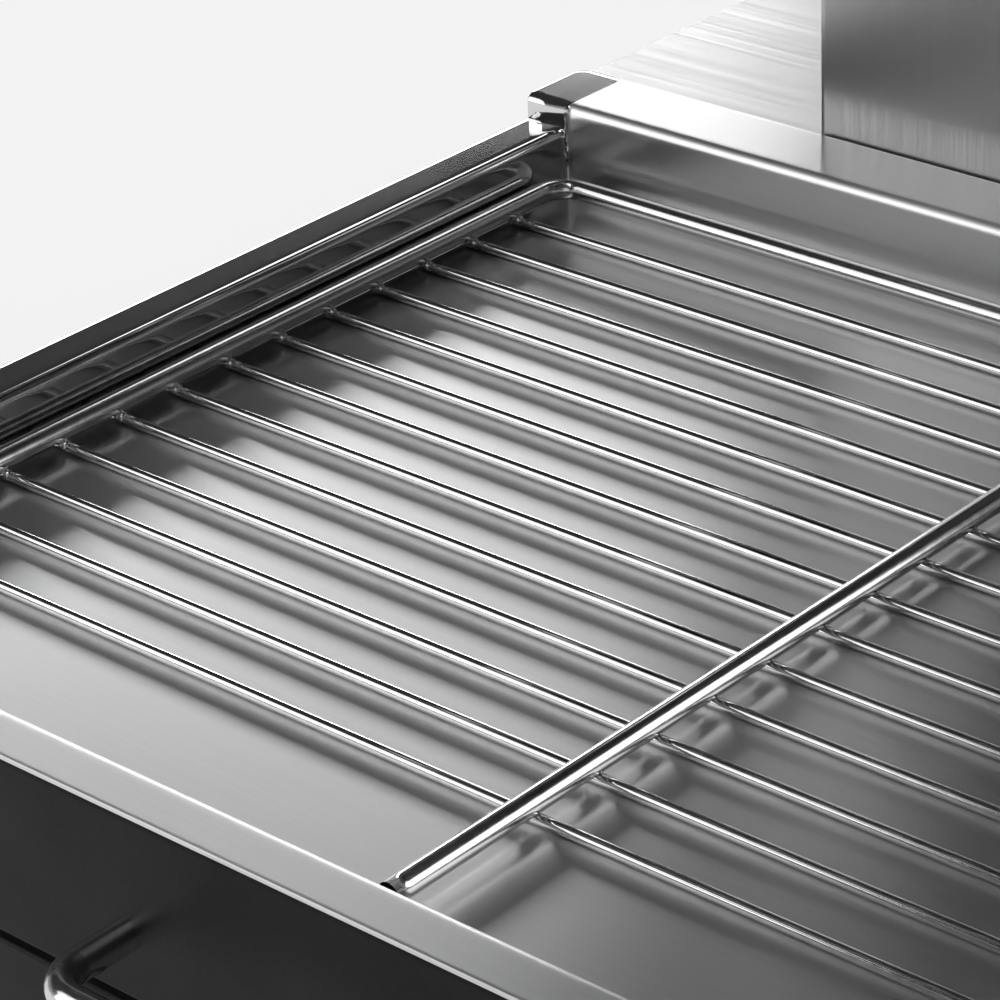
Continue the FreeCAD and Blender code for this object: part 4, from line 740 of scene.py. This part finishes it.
loop = [(x + rack_middle, y, rod_height) for x, y in
        outline((rack_right - rack_left) / 2, rack_front, rack_back, rack_corner, corner_parts)]
vertices = []
faces = []
add_strip(vertices, faces, sweep(loop, rod_radius, True), True)
finished("rack_rod_frame", mesh_of("rack_rod_frame", vertices, faces), metals["rod_steel"],
         "rack", ["rack_frame"])
vertices = []
faces = []
inner_reach = rod_radius - weld_bite
cross_line = along((rack_middle, rack_front + inner_reach, rod_height),
                   (rack_middle, rack_back - inner_reach, rod_height))
add_strip(vertices, faces, sweep(cross_line, rod_radius, False), True)
ends = len(vertices) - rod_sides
faces.append(tuple(reversed(range(rod_sides))))
faces.append(tuple(range(ends, ends + rod_sides)))
finished("rack_cross_rod_bar", mesh_of("rack_cross_rod_bar", vertices, faces),
         metals["rod_steel"], "rack", ["rack_cross_rod"])

# %% [markdown]
# ## The rack's wires and welds
# Thirteen wires lie under the rods, and each is welded to all three. They were laid by hand in a
# jig, so their spacing drifts a little. Repeats like this suit Geometry Nodes: a line of points
# gives the places, a second node moves them by the drift, and one wire is put on each point. The
# weld beads use the same points and three distances along X, with a seeded change in size.

# %% Geometry Nodes helpers


def new_tree(name, inputs):
    """A node tree with named inputs for sizes, and one geometry output."""
    tree = bpy.data.node_groups.new(name, "GeometryNodeTree")
    tree.interface.new_socket("Geometry", in_out="OUTPUT", socket_type="NodeSocketGeometry")
    keys = {}
    for label, (kind, value) in inputs.items():
        socket = tree.interface.new_socket(label, in_out="INPUT", socket_type="NodeSocket" + kind)
        keys[label] = (socket.identifier, value)
    return tree, keys


def put(tree, kind, **links):
    """A node in a tree, with its inputs given as numbers or as other outputs."""
    settings = links.pop("settings", {})
    node = tree.nodes.new(kind)
    for name, value in settings.items():
        setattr(node, name, value)
    for name, value in links.items():
        socket = node.inputs[int(name[1:])] if name[0] == "i" and name[1:].isdigit() \
            else node.inputs[name.replace("_", " ")]
        if isinstance(value, bpy.types.NodeSocket):
            tree.links.new(value, socket)
        else:
            socket.default_value = value
    return node


def close_tree(tree, geometry, material):
    """Smooth shading, Realize Instances and Set Material, so that the result is a plain mesh."""
    smooth = put(tree, "GeometryNodeSetShadeSmooth", i0=geometry)
    real = put(tree, "GeometryNodeRealizeInstances", Geometry=smooth.outputs[0])
    painted = put(tree, "GeometryNodeSetMaterial", Geometry=real.outputs[0], Material=material)
    output = tree.nodes.new("NodeGroupOutput")
    tree.links.new(painted.outputs[0], output.inputs[0])


def run_tree(name, tree, keys):
    """A plain mesh from a tree, with the modifier gone."""
    carrier = bpy.data.objects.new(name, bpy.data.meshes.new(name))
    bpy.context.scene.collection.objects.link(carrier)
    modifier = carrier.modifiers.new("nodes", "NODES")
    modifier.node_group = tree
    for identifier, value in keys.values():
        modifier[identifier] = value
    graph = bpy.context.evaluated_depsgraph_get()
    mesh = bpy.data.meshes.new_from_object(carrier.evaluated_get(graph))
    bpy.data.objects.remove(carrier)
    mesh.name = name
    return mesh


print("Geometry Nodes helpers ready")

# %% Points where the wires cross the rack
wire_pitch = 0.020
wire_drift = 0.0019
wire_overhang = 0.0015
wire_parts = 60
wire_sides = 20
wire_inputs = {
    "Wire count": ("Int", 13), "Pitch": ("Float", wire_pitch), "Drift": ("Float", wire_drift),
    "Back wire": ("Float", rack_back - wire_pitch), "Height": ("Float", wire_height),
}


def wire_points(tree, group):
    """A line of points from the back wire to the front one, moved by the drift."""
    line = put(tree, "GeometryNodeMeshLine", Count=group.outputs["Wire count"])
    index = put(tree, "GeometryNodeInputIndex")
    down = put(tree, "ShaderNodeMath", i0=index.outputs[0], i1=group.outputs["Pitch"],
               settings={"operation": "MULTIPLY"})
    last = put(tree, "ShaderNodeMath", i0=group.outputs["Wire count"], i1=1.0,
               settings={"operation": "SUBTRACT"})
    share = put(tree, "ShaderNodeMath", i0=index.outputs[0], i1=last.outputs[0],
                settings={"operation": "DIVIDE"})
    angle = put(tree, "ShaderNodeMath", i0=share.outputs[0], i1=math.pi,
                settings={"operation": "MULTIPLY"})
    wave = put(tree, "ShaderNodeMath", i0=angle.outputs[0], settings={"operation": "SINE"})
    drift = put(tree, "ShaderNodeMath", i0=wave.outputs[0], i1=group.outputs["Drift"],
                settings={"operation": "MULTIPLY"})
    start = put(tree, "ShaderNodeMath", i0=group.outputs["Back wire"], i1=down.outputs[0],
                settings={"operation": "SUBTRACT"})
    y = put(tree, "ShaderNodeMath", i0=start.outputs[0], i1=drift.outputs[0])
    place = put(tree, "ShaderNodeCombineXYZ", Y=y.outputs[0], Z=group.outputs["Height"])
    return put(tree, "GeometryNodeSetPosition", Geometry=line.outputs[0],
               Position=place.outputs[0]).outputs[0]


wire_tree, wire_keys = new_tree("rack wires", {
    **wire_inputs, "Left end": ("Float", rack_left - wire_overhang),
    "Right end": ("Float", rack_right + wire_overhang), "Radius": ("Float", wire_radius)})
group = put(wire_tree, "NodeGroupInput")
left_end = put(wire_tree, "ShaderNodeCombineXYZ", X=group.outputs["Left end"])
right_end = put(wire_tree, "ShaderNodeCombineXYZ", X=group.outputs["Right end"])
core = put(wire_tree, "GeometryNodeCurvePrimitiveLine", Start=left_end.outputs[0],
           End=right_end.outputs[0])
fine = put(wire_tree, "GeometryNodeResampleCurve", Curve=core.outputs[0], Count=wire_parts)
ring = put(wire_tree, "GeometryNodeCurvePrimitiveCircle", Resolution=wire_sides,
           Radius=group.outputs["Radius"])
wire = put(wire_tree, "GeometryNodeCurveToMesh", Curve=fine.outputs[0],
           Profile_Curve=ring.outputs[0], Fill_Caps=True)
wires = put(wire_tree, "GeometryNodeInstanceOnPoints", Points=wire_points(wire_tree, group),
            Instance=wire.outputs[0])
close_tree(wire_tree, wires.outputs[0], metals["rack_steel"])
finished("rack_wire_set", run_tree("rack_wire_set", wire_tree, wire_keys),
         metals["rack_steel"], "rack", ["rack_wires"])

# %% Weld beads
bead_aside = 0.0018
bead_radius = 0.0017
bead_y = -0.0004
bead_z = 0.0007
least_bead = (0.80, 0.75, 0.75)
largest_bead = (1.10, 1.0, 0.95)
bead_tree, bead_keys = new_tree("weld beads", {
    **wire_inputs, "Left rod": ("Float", rack_left), "Middle rod": ("Float", rack_middle),
    "Right rod": ("Float", rack_right), "Aside": ("Float", bead_aside),
    "Bead": ("Float", bead_radius), "Size seed": ("Int", 7)})
group = put(bead_tree, "NodeGroupInput")
points = wire_points(bead_tree, group)
rows = []
for rod, sense in (("Left rod", 1), ("Middle rod", -1), ("Right rod", -1)):
    shift = put(bead_tree, "ShaderNodeMath", i0=group.outputs["Aside"], i1=float(sense),
                settings={"operation": "MULTIPLY"})
    x = put(bead_tree, "ShaderNodeMath", i0=group.outputs[rod], i1=shift.outputs[0])
    move = put(bead_tree, "ShaderNodeCombineXYZ", X=x.outputs[0], Y=bead_y, Z=bead_z)
    rows.append(put(bead_tree, "GeometryNodeSetPosition", Geometry=points,
                    Offset=move.outputs[0]).outputs[0])
every = put(bead_tree, "GeometryNodeJoinGeometry")
for row in rows:
    bead_tree.links.new(row, every.inputs[0])
ball = put(bead_tree, "GeometryNodeMeshIcoSphere", Radius=group.outputs["Bead"], Subdivisions=3)
size = put(bead_tree, "FunctionNodeRandomValue", i0=least_bead, i1=largest_bead,
           Seed=group.outputs["Size seed"], settings={"data_type": "FLOAT_VECTOR"})
beads = put(bead_tree, "GeometryNodeInstanceOnPoints", Points=every.outputs[0],
            Instance=ball.outputs[0], Scale=size.outputs[0])
close_tree(bead_tree, beads.outputs[0], metals["rack_steel"])
finished("rack_weld_beads", run_tree("rack_weld_beads", bead_tree, bead_keys),
         metals["rack_steel"], "rack", ["rack_welds"])

# %% [markdown]
# ## Printed marks and painted pointers
# The dial marks are printed on the fascia: a band that widens with the heat, and a dot for off.
# A mark is a film a tenth of a millimetre thick, and half of that is sunk into what it is printed
# on, so that no gap shows. The switch has a bar for on and a ring for off. Where a face is tilted,
# a ray that is shot at the piece finds the place and the direction of its surface.

# %% Marks on the fascia, the knobs and the switch
print_gap = 0.00005
film_thickness = 0.0001
fascia_front = -0.2195
control_height = 0.046
knob_places = (0.095, 0.175)
knob_face = -0.2407
switch_place = -0.200
dial_start = 30
dial_turn = 240
dial_parts = 48
dial_inside = 0.0237
dial_outside = 0.0239
dial_growth = 0.0018
dot_ring = 0.0247
dot_radius = 0.0008
dot_sides = 24
groove_depth = 0.001
groove_low = 0.0043
groove_high = 0.0155
line_half = 0.0009


def band(places):
    """Faces between the inner and outer points of a strip, as places come in pairs."""
    points = [point for pair in places for point in pair]
    faces = [(number, number + 1, number + 3, number + 2)
             for number in range(0, len(points) - 2, 2)]
    return points, faces


def on_plane(centre_x, y, radius, angle):
    """A point around a control, with the angle clockwise from the top as seen from in front."""
    turn = math.radians(angle)
    return (centre_x + radius * math.sin(turn), y, control_height + radius * math.cos(turn))


def mark(name, points, faces, body, slot):
    """A printed mark that rides on a body, facing the front."""
    mesh = mesh_of(name, points, faces, smooth=False)
    work = bmesh.new()
    work.from_mesh(mesh)
    work.normal_update()
    turned = [face for face in work.faces if face.normal.y > 0]
    bmesh.ops.reverse_faces(work, faces=turned)
    work.to_mesh(mesh)
    work.free()
    piece = finished(name, mesh, mouldings["mark_white"], body)
    film = piece.modifiers.new("film thickness", "SOLIDIFY")
    film.thickness = film_thickness
    film.offset = -1.0


def dot_at(centre_x, y, radius, angle):
    """A round dot around a control, as its points and its one face."""
    middle_x, _, middle_z = on_plane(centre_x, y, radius, angle)
    points = []
    for side in range(dot_sides):
        turn = 2 * math.pi * side / dot_sides
        points.append((middle_x + dot_radius * math.cos(turn), y,
                       middle_z + dot_radius * math.sin(turn)))
    return points, [tuple(range(dot_sides))]


def move_faces(faces, shift):
    """Faces whose points come later in a list, by a shift."""
    return [tuple(number + shift for number in face) for face in faces]


dial_angles = [dial_start + dial_turn * part / dial_parts for part in range(dial_parts + 1)]
for label, place in zip(("left", "right"), knob_places):
    y = fascia_front - print_gap
    pairs = []
    for angle in dial_angles:
        outside = dial_outside + dial_growth * (angle - dial_start) / dial_turn
        pairs.append((on_plane(place, y, dial_inside, angle), on_plane(place, y, outside, angle)))
    points, faces = band(pairs)
    dot, dot_face = dot_at(place, y, dot_ring, 0)
    faces += move_faces(dot_face, len(points))
    points += dot
    mark("dial_marks_" + label, points, faces, "base", "black_enamel")
    y = knob_face + groove_depth - print_gap
    low = control_height + groove_low
    high = control_height + groove_high
    points = [(place - line_half, y, low), (place + line_half, y, low),
              (place + line_half, y, high), (place - line_half, y, high)]
    mark("knob_pointer_" + label, points, [(0, 1, 2, 3)], "knob_" + label, "black_plastic")

# %% Marks on the tilted faces of the switch
rocker = nodes["switch_rocker"]
ray_start = 0.05
bar_low = control_height - 0.0088
bar_high = control_height - 0.0038
bar_half = 0.0005
ring_middle = control_height + 0.0064
ring_radii = (0.0018, 0.0027)
ring_parts = 32


def on_rocker(x, z):
    """The place on the rocker's face behind a point in front of it."""
    start = Vector((x, fascia_front - ray_start, z))
    hit, place, normal, _ = rocker.ray_cast(rocker.matrix_world.inverted() @ start,
                                            Vector((0, 1, 0)))
    return tuple(place + normal * print_gap) if hit else tuple(start)


bar_points = [on_rocker(switch_place + x, z) for x, z in
              ((-bar_half, bar_low), (bar_half, bar_low), (bar_half, bar_high),
               (-bar_half, bar_high))]
mark("switch_bar_mark", bar_points, [(0, 1, 2, 3)], "switch", "switch_plastic")
pairs = []
for part in range(ring_parts + 1):
    turn = 2 * math.pi * part / ring_parts
    pairs.append(tuple(on_rocker(switch_place + radius * math.cos(turn),
                                 ring_middle + radius * math.sin(turn))
                       for radius in ring_radii))
mark("switch_ring_mark", *band(pairs), "switch", "switch_plastic")
